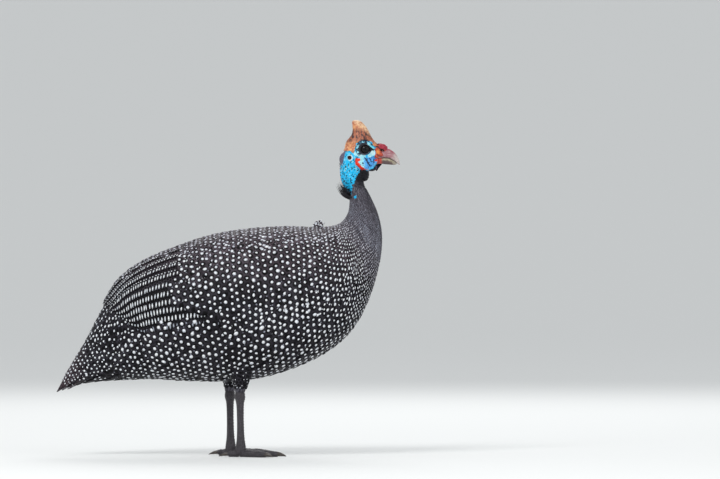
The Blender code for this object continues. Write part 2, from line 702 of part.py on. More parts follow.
def main():
    clear_scene()
    bird = new_collection("guineafowl")
    helpers = new_collection("cutters", hidden=True)
    dark_feather = material("dark_feather", (0.035, 0.032, 0.04), 0.6)
    grey_feather = material("grey_feather", (0.12, 0.11, 0.14), 0.6)
    blue_skin = material("blue_skin", (0.03, 0.42, 0.75), 0.55)
    horn = material("casque_horn", (0.52, 0.26, 0.12), 0.5)
    bill_horn = material("bill_horn", (0.62, 0.42, 0.4), 0.4)
    red_skin = material("red_skin", (0.55, 0.06, 0.07), 0.5)
    wattle_skin = material("wattle_skin", (0.16, 0.4, 0.8), 0.5)
    eye_finish = material("eye", (0.015, 0.01, 0.01), 0.1)
    finishes = {
        "thigh": dark_feather,
        "shank": material("leg_skin", (0.07, 0.06, 0.065), 0.6),
        "claw": material("claw_horn", (0.05, 0.04, 0.035), 0.4),
    }

    torso = body_length("torso", TAIL_CUT, NECK_CUT, 18, bird, dark_feather)
    torso_clearance = grown(torso, helpers)
    body_length("neck_lower", past(NECK_CUT, GAP), THROAT_CUT, 8, bird, grey_feather)
    neck = body_length("neck_upper", past(THROAT_CUT, GAP), NAPE_CUT, 6, bird, blue_skin, sides=20)
    fuse(neck, make_nape_plume(helpers))

    make_head(bird, helpers, blue_skin)
    skull_clearance = grown(skull("skull_form", helpers), helpers)
    casque = table_loft("casque", CASQUE, bird, horn)
    upper_clearance = grown(table_loft("upper_form", BILL_UPPER, helpers), helpers)
    for cutter in (skull_clearance, upper_clearance):
        cut(casque, cutter)
    casque_clearance = grown(table_loft("casque_form", CASQUE, helpers), helpers)
    cere = make_cere(bird, helpers, red_skin, (skull_clearance, casque_clearance))
    bill_upper = table_loft("bill_upper", BILL_UPPER, bird, bill_horn)
    for cutter in (skull_clearance, grown(cere, helpers)):
        cut(bill_upper, cutter, "MANIFOLD")
    bill_lower = table_loft("bill_lower", BILL_LOWER, bird, bill_horn)
    for cutter in (skull_clearance, upper_clearance):
        cut(bill_lower, cutter)
    wattle = make_wattle(bird, wattle_skin)
    for cutter in (skull_clearance, grown(bill_lower, helpers)):
        cut(wattle, cutter)
    mirrored(wattle, "wattle_right", bird, wattle_skin)
    for side_name, side in (("left", 1), ("right", -1)):
        ball("eye_" + side_name, bird, on_side(EYE, side), (EYE_RADIUS,) * 3, 0, eye_finish, rings=9)

    wing = make_wing(bird, dark_feather, torso_clearance)
    mirrored(wing, "wing_right", bird, dark_feather)
    make_tail(bird, dark_feather, torso_clearance)
    for side_name in ("left", "right"):
        make_leg(side_name, bird, helpers, finishes, torso_clearance)
    for helper in list(helpers.objects):
        bpy.data.objects.remove(helper, do_unlink=True)


main()
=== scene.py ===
"""The looks of a standing helmeted guineafowl: skin, plumage, horn and scales round its solid frame.

Lengths are millimetres in this script's tables and become metres as each mesh is made. +X is the way
the bird faces, +Y its left side, +Z up. A place on the body is t, counted in sections from the tail
tip (0) to the crown (25), and degrees round from the back ridge (0) to the belly (180).
"""
import copy
import math

import bmesh
import bpy
import numpy as np
from mathutils import Euler, Matrix, Vector, noise


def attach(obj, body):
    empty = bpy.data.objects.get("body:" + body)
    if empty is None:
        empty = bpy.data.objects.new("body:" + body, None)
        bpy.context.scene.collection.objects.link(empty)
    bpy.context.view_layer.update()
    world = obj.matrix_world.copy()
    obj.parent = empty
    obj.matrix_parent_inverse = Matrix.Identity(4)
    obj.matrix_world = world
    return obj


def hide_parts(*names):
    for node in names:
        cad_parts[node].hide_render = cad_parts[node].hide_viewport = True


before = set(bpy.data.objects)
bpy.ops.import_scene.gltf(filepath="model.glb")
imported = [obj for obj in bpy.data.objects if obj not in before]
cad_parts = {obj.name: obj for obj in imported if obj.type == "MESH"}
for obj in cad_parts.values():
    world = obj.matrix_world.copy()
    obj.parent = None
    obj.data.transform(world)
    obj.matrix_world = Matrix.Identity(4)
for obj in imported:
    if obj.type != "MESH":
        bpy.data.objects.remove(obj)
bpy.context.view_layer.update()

MM = 0.001

# Sections of the body from tail tip to crown: back edge x and z, belly edge x and z, half width, egg factor.
BODY = np.array((
    (-215.0, 80.0, -211.0, 77.0, 8.0, 0.0),
    (-198.6, 111.0, -186.0, 89.0, 21.0, 0.0),
    (-178.6, 144.0, -153.6, 93.5, 31.0, 0.0),
    (-160.0, 180.0, -123.6, 95.0, 40.0, -0.03),
    (-138.6, 217.0, -95.0, 96.0, 48.0, -0.05),
    (-108.6, 241.0, -62.0, 94.0, 59.0, -0.07),
    (-64.8, 260.0, -28.6, 93.0, 68.0, -0.08),
    (-18.6, 275.0, 6.4, 93.0, 74.0, -0.08),
    (28.9, 282.5, 43.9, 98.0, 76.0, -0.08),
    (72.7, 285.0, 85.2, 110.5, 74.0, -0.07),
    (106.4, 284.0, 122.7, 129.0, 67.0, -0.05),
    (128.9, 285.0, 151.4, 152.5, 56.0, -0.03),
    (141.4, 289.0, 170.2, 182.5, 45.0, 0.0),
    (147.7, 295.5, 182.7, 215.0, 36.5, 0.0),
    (151.2, 304.0, 190.2, 250.0, 30.0, 0.0),
    (152.7, 314.5, 191.4, 278.8, 24.5, 0.0),
    (152.7, 325.0, 186.4, 303.0, 20.0, 0.0),
    (150.0, 335.5, 178.0, 322.5, 16.5, 0.0),
    (145.6, 345.5, 170.2, 338.5, 14.0, 0.0),
    (141.4, 355.0, 170.0, 350.0, 13.2, 0.0),
    (140.2, 363.5, 178.0, 357.5, 14.0, 0.12),
    (141.4, 371.0, 186.0, 364.5, 15.0, 0.24),
    (144.0, 378.0, 188.5, 371.5, 15.5, 0.28),
    (147.5, 385.0, 189.0, 379.5, 15.0, 0.28),
    (153.5, 390.5, 187.0, 387.0, 12.0, 0.20),
    (162.5, 394.0, 180.5, 392.5, 7.0, 0.0),
))
CROWN = len(BODY) - 1

# The folded wing swells the body by this height about its middle, over these reaches.
WING_MIDDLE = (7.8, 68.0)
WING_REACH = (5.2, 52.0)
WING_HEIGHT = 5.5

COAT_DEPTH = 2.2
VANE_THICK = 0.26


def section_at(table, t):
    """Rows of a table of sections at places t, by a smooth curve through its rows."""
    last = len(table) - 1
    i = np.clip(np.floor(t).astype(int), 0, last - 1)
    f = (t - i)[..., None]
    p, q, r, s = (table[np.clip(i + k, 0, last)] for k in (-1, 0, 1, 2))
    return 0.5 * (2 * q + (r - p) * f + (2 * p - 5 * q + 4 * r - s) * f ** 2 + (3 * q - p - 3 * r + s) * f ** 3)


def outline(t, degrees, table=BODY):
    t, degrees = np.broadcast_arrays(np.asarray(t, float), np.asarray(degrees, float))
    row = section_at(table, t)
    angle = np.radians(degrees)
    turn, side = np.cos(angle), np.sin(angle)
    x = (row[..., 0] + row[..., 2] + (row[..., 0] - row[..., 2]) * turn) / 2
    z = (row[..., 1] + row[..., 3] + (row[..., 1] - row[..., 3]) * turn) / 2
    return np.stack((x, row[..., 4] * side * (1 + row[..., 5] * turn), z), -1)


def unit(vectors):
    return vectors / np.maximum(np.linalg.norm(vectors, axis=-1, keepdims=True), 1e-9)


def wrap(degrees):
    return (degrees + 180.0) % 360.0 - 180.0


def wing_swell(t, degrees):
    near = 1 - ((t - WING_MIDDLE[0]) / WING_REACH[0]) ** 2
    near = near - ((np.abs(wrap(degrees)) - WING_MIDDLE[1]) / WING_REACH[1]) ** 2
    return WING_HEIGHT * np.clip(near, 0, 1) ** 0.8


def surf(t, degrees, height=0.0):
    """Points at a height over the body's outline, along its outward normal."""
    t, degrees = np.broadcast_arrays(np.asarray(t, float), np.asarray(degrees, float))
    run = outline(t + 0.02, degrees) - outline(t - 0.02, degrees)
    turn = outline(t, degrees + 1.0) - outline(t, degrees - 1.0)
    return outline(t, degrees) + unit(np.cross(run, turn)) * np.asarray(height)[..., None]


def body(t, degrees, height=0.0):
    """Points at a height over the body, wings and all."""
    return surf(t, degrees, height + wing_swell(t, degrees))


def per_section(t, degrees, over=outline):
    """Millimetres that a surface runs in one section."""
    return np.linalg.norm(over(t + 0.05, degrees) - over(t - 0.05, degrees), axis=-1) / 0.1


def per_degree(t, degrees, over=outline):
    return np.linalg.norm(over(t, degrees + 0.5) - over(t, degrees - 0.5), axis=-1)


def told(table, at):
    """A number, or a table of places and numbers read by straight lines at places."""
    if not isinstance(table, tuple):
        return np.full(np.shape(at), float(table))
    places, numbers = zip(*sorted(table))
    return np.interp(at, places, numbers)


HOCK = {"left": (1.5, 31.0, 80.0), "right": (15.5, -31.0, 80.0)}
HIP_FROM_HOCK = (6.0, 3.0, 66.0)
THIGH_LENGTHS, THIGH_RADII = (0.0, 2.0, 4.6, 7.0, 10.0), (7.0, 10.0, 17.5, 25.0, 28.0)


def thigh(side_name):
    """The thigh's surface: places from the hock (0) to the hip (10), degrees round from the front."""
    hock = np.array(HOCK[side_name])
    side = 1 if side_name == "left" else -1
    rise = np.array(HIP_FROM_HOCK) * (1, side, 1)

    def over(t, degrees, height=0.0):
        t, degrees = np.broadcast_arrays(np.asarray(t, float), np.asarray(degrees, float))
        radius = np.interp(t, THIGH_LENGTHS, THIGH_RADII) + height
        angle = np.radians(degrees)
        out = np.stack((np.cos(angle), side * np.sin(angle), 0 * angle), -1) * radius[..., None]
        return hock + rise * (t[..., None] / 10.0) + out

    return over


# Materials

class Value:
    """A number in a material, whose arithmetic adds the nodes that work it out."""

    def __init__(self, finish, socket):
        self.finish, self.socket = finish, socket

    def maths(self, operation, *others, first=None):
        values = [self if first is None else first, *others]
        made = self.finish.node("ShaderNodeMath", {"operation": operation}, dict(enumerate(values)))
        return Value(self.finish, made.outputs[0])

    def __add__(self, other):
        return self.maths("ADD", other)

    def __sub__(self, other):
        return self.maths("SUBTRACT", other)

    def __rsub__(self, other):
        return self.maths("SUBTRACT", self, first=other)

    def __mul__(self, other):
        return self.maths("MULTIPLY", other)

    def __truediv__(self, other):
        return self.maths("DIVIDE", other)

    def __pow__(self, other):
        return self.maths("POWER", other)

    __radd__ = __add__
    __rmul__ = __mul__

    def between(self, low, high):
        """0 below low, 1 above high, smooth between; the other way round where low is above high."""
        made = self.finish.node(
            "ShaderNodeMapRange", {"interpolation_type": "SMOOTHSTEP"}, {0: self, 1: low, 2: high},
        )
        return Value(self.finish, made.outputs[0])


class Finish:
    """A material on its way, with its Principled shader."""

    def __init__(self, name, **fixed):
        self.material = bpy.data.materials.new(name)
        self.material.use_nodes = True
        self.tree = self.material.node_tree
        self.shader = self.tree.nodes["Principled BSDF"]
        for socket, value in fixed.items():
            self.shader.inputs[socket.replace("_", " ")].default_value = value

    def node(self, kind, settings=None, sockets=None):
        made = self.tree.nodes.new(kind)
        for key, value in (settings or {}).items():
            if key == "stops":
                ramp = made.color_ramp
                while len(ramp.elements) < len(value):
                    ramp.elements.new(0.5)
                for stop, (place, colour) in zip(ramp.elements, value):
                    stop.position, stop.color = place, (*colour, 1.0)
            else:
                setattr(made, key, value)
        for key, value in (sockets or {}).items():
            self.feed(made.inputs[key], value)
        return made

    def feed(self, socket, value):
        if isinstance(value, Value):
            self.tree.links.new(value.socket, socket)
        elif isinstance(value, bpy.types.NodeSocket):
            self.tree.links.new(value, socket)
        elif isinstance(value, tuple) and len(value) == 3 and socket.type == "RGBA":
            socket.default_value = (*value, 1.0)
        else:
            socket.default_value = value

    def place(self, scale=1000.0):
        """The piece's own coordinates as a vector, in millimetres unless scaled otherwise."""
        here = self.node("ShaderNodeTexCoord")
        made = self.node("ShaderNodeVectorMath", {"operation": "SCALE"}, {0: here.outputs["Object"], "Scale": scale})
        return made.outputs[0]

    def parts(self, vector):
        made = self.node("ShaderNodeSeparateXYZ", sockets={0: vector})
        return [Value(self, out) for out in made.outputs]

    def grain(self, vector, scale, detail=2.0, roughness=0.5, distortion=0.0):
        made = self.node("ShaderNodeTexNoise", sockets={
            "Vector": vector, "Scale": scale, "Detail": detail, "Roughness": roughness, "Distortion": distortion,
        })
        return Value(self, made.outputs[0])

    def cells(self, vector, scale, feature="F1"):
        made = self.node("ShaderNodeTexVoronoi", {"feature": feature}, {"Vector": vector, "Scale": scale})
        return Value(self, made.outputs["Distance"])

    def attribute(self, name):
        made = self.node("ShaderNodeAttribute", {"attribute_name": name})
        return made.outputs["Color"], Value(self, made.outputs["Fac"])

    def mix(self, share, first, second):
        made = self.node("ShaderNodeMix", {"data_type": "RGBA"}, {0: share, 6: first, 7: second})
        return made.outputs[2]

    def bump(self, height, distance, strength=1.0):
        made = self.node("ShaderNodeBump", sockets={
            "Height": height, "Distance": distance * MM, "Strength": strength,
        })
        return made.outputs[0]

    def set(self, **sockets):
        for socket, value in sockets.items():
            self.feed(self.shader.inputs[socket.replace("_", " ")], value)
        return self.material


def plumage_finish():
    """Feather vanes, black round the spots with a fine grey net between them: brown on the back and slate
    on the neck, with barbs that run outward and back from the quill."""
    finish = Finish("plumage", Specular_IOR_Level=0.12)
    here = finish.place()
    x, y, z = finish.parts(here)
    across, along, _ = finish.parts(finish.node("ShaderNodeUVMap", {"uv_map": "vane"}).outputs[0])
    _, shade = finish.attribute("shade")
    grain = finish.grain(here, 0.9, 3.0, 0.6)
    patch = finish.grain(here, 0.09, 2.0)

    def from_spots(shift_across, shift_along):
        """Distance to the nearest spot of one of the two rectangular lattices, in spot spacings."""
        u = across - shift_across
        v = (along - shift_along) / 1.732
        u, v = (w - w.maths("ROUND") for w in (u, v))
        v = v * 1.732
        return (u * u + v * v) ** 0.5

    away = from_spots(0.5, 0.55).maths("MINIMUM", from_spots(0.0, 1.416))
    net = (away + (grain - 0.5) * 0.42).between(0.34, 0.44)
    neck = (x * 0.8 + z * 0.6).between(270.0, 318.0)
    throat = (z + x * 0.35 + (grain - 0.5) * 26.0).between(388.0, 402.0)
    tail = x.between(-172.0, -205.0)
    back = (z + (patch - 0.5) * 60.0).between(190.0, 275.0)
    black = finish.mix(shade, (0.0020, 0.0020, 0.0026), (0.0050, 0.0047, 0.0062))
    grey = finish.mix(shade, (0.016, 0.014, 0.020), (0.046, 0.042, 0.056))
    brown = finish.mix(shade, (0.058, 0.043, 0.053), (0.112, 0.088, 0.105))
    slate = finish.mix(shade, (0.078, 0.072, 0.088), (0.180, 0.170, 0.202))
    slate = finish.mix(grain.between(0.40, 0.60) * 0.75, slate, (0.030, 0.028, 0.038))
    ground = finish.mix(net * (back * 0.35 + 0.60), black, finish.mix(back, grey, brown))
    ground = finish.mix(tail * 0.75, ground, finish.mix(net, (0.026, 0.017, 0.022), (0.100, 0.070, 0.084)))
    ground = finish.mix(neck, ground, slate)
    ground = finish.mix(throat, ground, (0.007, 0.006, 0.009))
    bare = (((x - 159.0) ** 2.0 + (z - 323.5) ** 2.0) ** 0.5).between(2.2, 1.2) * y.between(4.0, -4.0)
    ground = finish.mix(bare, ground, (0.010, 0.50, 0.88))
    reach = across.maths("ABSOLUTE")
    barb = ((along + reach * 0.9) * 26.0).maths("SINE") * 0.5 + 0.5
    quill = reach.between(0.02, 0.10)
    return finish.set(Base_Color=ground, Roughness=shade * 0.1 + 0.5, Normal=finish.bump(barb + quill * 2.0, 0.10))


def spot_finish(name, light, dark):
    """The white spots, faintly blue, with a little dirt."""
    finish = Finish(name, Roughness=0.6)
    grain = finish.grain(finish.place(), 0.4, 2.0)
    return finish.set(Base_Color=finish.mix(grain.between(0.3, 0.75), light, dark))


def skin_finish():
    finish = Finish("skin", Roughness=0.55, Specular_IOR_Level=0.22)
    paint, _ = finish.attribute("paint")
    here = finish.place()
    speck = finish.grain(here, 1.1, 4.0, 0.6)
    wrinkle = finish.cells(here, 0.9)
    colour = finish.mix(speck.between(0.35, 0.85) * 0.20, paint, (0.01, 0.012, 0.02))
    return finish.set(Base_Color=colour, Normal=finish.bump(speck + wrinkle, 0.25))


def plain_finish(name, light, dark, rough=0.5, scale=0.5, depth=0.1):
    finish = Finish(name)
    grain = finish.grain(finish.place(), scale, 5.0, 0.6)
    return finish.set(
        Base_Color=finish.mix(grain.between(0.3, 0.7), light, dark), Roughness=grain * 0.2 + (rough - 0.1),
        Normal=finish.bump(grain, depth),
    )


# Meshes

def make_mesh(name, points, faces, finish, slot, maps=None, shades=None, smooth=True):
    """An object from points in millimetres and rows of corners, with its maps and shades per point."""
    points, faces = np.asarray(points, np.float64), np.asarray(faces, np.int32)
    count, corners = faces.shape
    mesh = bpy.data.meshes.new(name)
    mesh.vertices.add(len(points))
    mesh.vertices.foreach_set("co", (points * MM).astype(np.float32).ravel())
    mesh.loops.add(count * corners)
    mesh.loops.foreach_set("vertex_index", faces.ravel())
    mesh.polygons.add(count)
    mesh.polygons.foreach_set("loop_start", np.arange(0, count * corners, corners, dtype=np.int32))
    for map_name, places in (maps or {}).items():
        layer = mesh.uv_layers.new(name=map_name)
        layer.uv.foreach_set("vector", places[faces.ravel()].astype(np.float32).ravel())
    mesh.update(calc_edges=True)
    if shades is not None:
        values = mesh.attributes.new("shade", "FLOAT", "POINT")
        values.data.foreach_set("value", shades.astype(np.float32))
    if smooth:
        mesh.shade_smooth()
    mesh.materials.append(finish)
    obj = bpy.data.objects.new(name, mesh)
    bpy.context.scene.collection.objects.link(obj)
    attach(obj, "root")
    return obj


def vane_blank(columns, rows):
    """A thin closed sheet: places along and across it, 1 on its upper face, and its faces."""
    bm = bmesh.new()
    bmesh.ops.create_grid(bm, x_segments=rows, y_segments=columns, size=1.0)
    lifted = bmesh.ops.extrude_face_region(bm, geom=bm.faces[:], use_keep_orig=True)
    for vert in lifted["geom"]:
        if isinstance(vert, bmesh.types.BMVert):
            vert.co.z = 0.1
    bmesh.ops.recalc_face_normals(bm, faces=bm.faces[:])
    bm.verts.index_update()
    places = np.array([vert.co for vert in bm.verts])
    faces = np.array([[vert.index for vert in face.verts] for face in bm.faces])
    bm.free()
    along = (places[:, 0] + 1) / 2
    return 1 - (1 - along) ** 1.6, places[:, 1], places[:, 2] * 10, faces


def lens_blank(sides):
    """A small closed dome with a point below: places across it and its faces."""
    bm = bmesh.new()
    bmesh.ops.create_cone(bm, cap_ends=False, segments=sides, radius1=1.0, radius2=0.0, depth=1.0)
    bmesh.ops.translate(bm, verts=bm.verts[:], vec=(0, 0, 0.5))
    rim = [edge for edge in bm.edges if edge.is_boundary]
    foot = bm.verts.new((0, 0, -0.6))
    for edge in rim:
        bm.faces.new((edge.verts[0], edge.verts[1], foot))
    bmesh.ops.remove_doubles(bm, verts=bm.verts[:], dist=0.001)
    bmesh.ops.recalc_face_normals(bm, faces=bm.faces[:])
    bm.verts.index_update()
    places = np.array([vert.co for vert in bm.verts])
    faces = np.array([[vert.index for vert in face.verts] for face in bm.faces])
    bm.free()
    return places, faces


class Feathers:
    """Feathers laid over the body, each from a root to a tip in sections and degrees."""

    def __init__(
        self, root_t, root_d, tip_t, tip_d, half, pitch, lift, rise=2.2, tilt=0.35, camber=0.3, over=body, patch=0.0,
        wide=None, edge=0.0,
    ):
        self.count, self.over, self.patch = len(root_t), over, patch
        fill = [np.broadcast_to(np.asarray(v, float), (self.count,))[:, None] for v in (
            root_t, root_d, tip_t, tip_d, half, pitch, lift, rise, tilt, camber, pitch if wide is None else wide, edge,
        )]
        (self.root_t, self.root_d, self.tip_t, self.tip_d, self.half, self.pitch,
         self.lift, self.rise, self.tilt, self.camber, self.wide, self.edge) = fill
        middle_t, middle_d = (self.root_t + self.tip_t) / 2, (self.root_d + self.tip_d) / 2
        ends = over(self.tip_t, self.tip_d) - over(self.root_t, self.root_d)
        run = np.abs(self.tip_t - self.root_t) * per_section(middle_t, middle_d, over)
        self.length = np.maximum(np.linalg.norm(ends, axis=-1), run)

    def pick(self, mask):
        """Only the feathers that the mask marks."""
        some = copy.copy(self)
        for name, values in vars(self).items():
            if isinstance(values, np.ndarray):
                setattr(some, name, values[mask])
        some.count = int(mask.sum())
        return some

    def place(self, along, across, over):
        """Points at shares along each feather, millimetres across it and over its upper face."""
        t = self.root_t + (self.tip_t - self.root_t) * along
        middle = self.root_d + (self.tip_d - self.root_d) * along
        degrees = middle + across / per_degree(t, middle, self.over)
        out = across / self.half
        settled = np.clip(along * 2.5, 0, 1)
        height = (self.lift + self.rise * (along - 1)) * settled - (COAT_DEPTH + 0.4) * (1 - settled)
        height = height + self.tilt * out * np.clip(along * 3, 0, 1) - self.camber * out ** 2
        return self.over(t, degrees, height + over)

    def bake_map(self, along, across):
        """Each feather's own small patch at its root's place on the unrolled body."""
        places = np.stack(np.broadcast_arrays(
            0.05 + 0.9 * (wrap(self.root_d) + 180) / 360 + across / self.half * 0.0014,
            0.05 + 0.9 * (self.root_t + self.patch) / CROWN + (along - 0.5) * 0.0028,
        ), -1)
        return places.reshape(-1, 2)


def feather_width(along, bluntness):
    """Share of a feather's greatest half width at shares of its length."""
    swell = 0.45 + 0.55 * np.sin(np.clip(along / 0.6, 0, 1) * np.pi / 2)
    end = np.clip((along - (1 - bluntness)) / bluntness, 0, 1)
    return swell * np.sqrt(np.clip(1 - end ** 2, 0.02, 1))


def add_vanes(name, feathers, blank, finish, seed, bluntness=0.3, fray=0.05, slot="dark_feather", thick=VANE_THICK):
    rng = np.random.default_rng(seed)
    along, across, upper, faces = blank
    size = (feathers.count, len(along))
    out = across * feather_width(along, bluntness)
    edge = np.abs(across) > 0.95
    ragged = 1 + fray * edge * rng.normal(size=size)
    millimetres = out * ragged * feathers.half
    along_all = np.clip(along + fray * 0.25 * edge * rng.normal(size=size) * (along > 0.5), 0, 1.02)
    over = (upper - 1) * thick * (1 - 0.6 * np.abs(across))
    points = feathers.place(along_all, millimetres, np.broadcast_to(over, size)).reshape(-1, 3)
    steps = (np.arange(feathers.count) * len(along))[:, None, None]
    pattern = np.stack((millimetres / feathers.wide, (1 - along_all) * feathers.length / feathers.pitch), -1)
    shades = np.repeat(rng.uniform(size=feathers.count), len(along))
    return make_mesh(
        name, points, (faces[None] + steps).reshape(-1, 4), finish, slot,
        {"OFBake": feathers.bake_map(along_all, millimetres), "vane": pattern.reshape(-1, 2)}, shades,
    )


class Spots:
    """Gathers the raised spots of many feathers into one piece."""

    def __init__(self, sides=8):
        self.blank, self.faces = lens_blank(sides)
        self.points, self.maps, self.total = [], [], 0

    def add(self, feathers, along, across, radius, stretch=1.0, slant=0.0, over=0.07, dome=0.16):
        """One spot on each feather: shares along, millimetres across, radii; stretch lengthens it across."""
        wide, long, up = self.blank.T
        turn, stretch = np.radians(slant), np.asarray(stretch)
        u = wide * stretch * np.cos(turn) - long * np.sin(turn)
        v = wide * stretch * np.sin(turn) + long * np.cos(turn)
        along = np.asarray(along).reshape(-1, 1) + v * np.asarray(radius).reshape(-1, 1) / feathers.length
        across = np.asarray(across).reshape(-1, 1) + u * np.asarray(radius).reshape(-1, 1)
        height = np.broadcast_to(over + up * dome, along.shape)
        self.points.append(feathers.place(along, across, height).reshape(-1, 3))
        self.maps.append(feathers.bake_map(along, across))
        self.total += feathers.count

    def finish(self, name, material, slot):
        steps = (np.arange(self.total) * len(self.blank))[:, None, None]
        return make_mesh(
            name, np.concatenate(self.points), (self.faces[None] + steps).reshape(-1, 3), material, slot,
            {"OFBake": np.concatenate(self.maps)},
        )


def lattice_tract(first, last, middle, spread, spacing, lift, seed, over=body, patch=0.0):
    """Rows of feathers whose spots will make an even lattice: tips from section first to last, degrees
    middle give or take a spread. Spread, spacing and lift may be told by section, first by degrees from the
    middle and last by degrees from the ridge."""
    rng = np.random.default_rng(seed)
    rows, t, row = [], np.max(told(first, np.arange(180.0))), 0
    while t > np.min(told(last, np.arange(180.0))):
        size, reach = float(told(spacing, t)), float(told(spread, t))
        step = 2 * size / float(per_degree(t, middle, over))
        fall = 1.732 * size / float(per_section(t, 30 if middle == 0 else middle, over))
        count = int(reach / step) + 1
        for k in range(-count, count + 1):
            degrees = middle + (k + 0.5 * (row % 2)) * step
            away = degrees - middle
            if abs(away) <= reach and told(last, abs(wrap(degrees))) < t <= told(first, abs(away)):
                open_side = np.sign(away) if abs(away) > reach - step else 0.0
                rows.append((t, degrees, step, fall, open_side))
        t -= fall
        row += 1
    t, degrees, step, fall, edge = np.array(rows).T
    wide = step / 2 * per_degree(t, degrees, over)
    size = fall / 1.732 * per_section(t, degrees, over)
    jitter = rng.normal(size=(2, len(t)))
    t = t + 0.05 * fall * jitter[0]
    degrees = degrees + 0.025 * step * jitter[1]
    root = t + 4.2 * size / per_section(t + 0.3, degrees, over)
    return Feathers(
        root, degrees, t, degrees, 1.3 * wide, size, told(lift, t), rise=0.28 * size, over=over, patch=patch,
        wide=wide, edge=edge,
    )


# Places of the spots on a feather's shown end, in lattice spacings across it and back from its tip.
SHOWN_SPOTS = ((-0.5, 0.55), (0.5, 0.55), (0.0, 1.416), (1.0, 1.416))
DEEP_SPOTS = ((-0.5, 2.28), (0.5, 2.28))


def spot_lattice(feathers, choice, share, seed, keep=1.0, small=0.55, deep=False, vary=1.0):
    """The spots on each feather's shown end, with a few further up where its edge lies open, and small dull
    ones between. The choice gives pieces of spots and the section that each goes up to."""
    rng = np.random.default_rng(seed)

    def lay(some, spots, across, back, least, shown):
        size, wide, length = some.pitch[:, 0], some.wide[:, 0], some.length[:, 0]
        jitter = rng.normal(size=(3, some.count)) * (0.075 if least == 1 else 0.14) * vary
        radius = least * share * np.minimum(np.sqrt(size * wide), 1.25 * np.minimum(size, wide))
        some_shown = (rng.uniform(size=some.count) < shown) & (back * size < 0.8 * length)
        some = some.pick(some_shown)
        stretch = 1 + 0.45 * vary * rng.uniform(size=(some.count, 1)) ** 2
        spots.add(
            some, 1 - ((back + jitter[0]) * size / length)[some_shown], ((across + jitter[1]) * wide)[some_shown],
            (radius * np.clip(1 + 1.9 * jitter[2], 0.72, 1.3))[some_shown], stretch,
            rng.uniform(-90, 90, size=(some.count, 1)),
        )

    place = feathers.tip_t[:, 0] + 0.25 * rng.normal(size=feathers.count)
    edge = feathers.edge[:, 0]
    low = -99.0
    for spots, high in choice:
        here = (place > low) & (place <= high)
        low = high
        shown = told(keep, feathers.tip_t[here, 0])
        for across, back in SHOWN_SPOTS + (DEEP_SPOTS if deep else ()):
            lay(feathers.pick(here), spots, across, back, 1.0, shown)
        for side in (-1.0, 1.0):
            bare = here & (edge == side)
            places = ((0.5 * side, 2.28), (side, 3.15), (0.0, 3.15)) + (((-1.0, 1.416),) if side < 0 else ())
            for across, back in places:
                lay(feathers.pick(bare), spots, across, back, 1.0, 1.0)
    if small:
        lay(feathers, choice[-1][0], 0.0, 0.72, 0.48, small)
        lay(feathers, choice[-1][0], 0.62, 1.3, 0.42, small * 0.7)


FLANK_SPACING = (
    (2.6, 7.0), (5, 8.4), (8, 8.9), (9, 8.5), (10, 7.8), (11, 6.8), (12, 5.2), (13, 3.9), (14.4, 3.0))
COVERT_SPACING = ((5, 8.2), (8, 8.5), (9, 8.0), (10, 7.2), (11, 6.2), (12, 4.8), (13, 3.6), (14.4, 2.8))
BACK_SPACING = (
    (2.5, 6.2), (5, 6.6), (8, 6.6), (9.5, 6.0), (10.5, 5.3), (11.5, 4.4), (12.5, 3.4), (13.5, 2.8), (14.4, 2.5))
NECK_SPACING = ((13.5, 3.2), (14.4, 2.6), (15.2, 2.1), (16, 1.7), (17.6, 1.4))


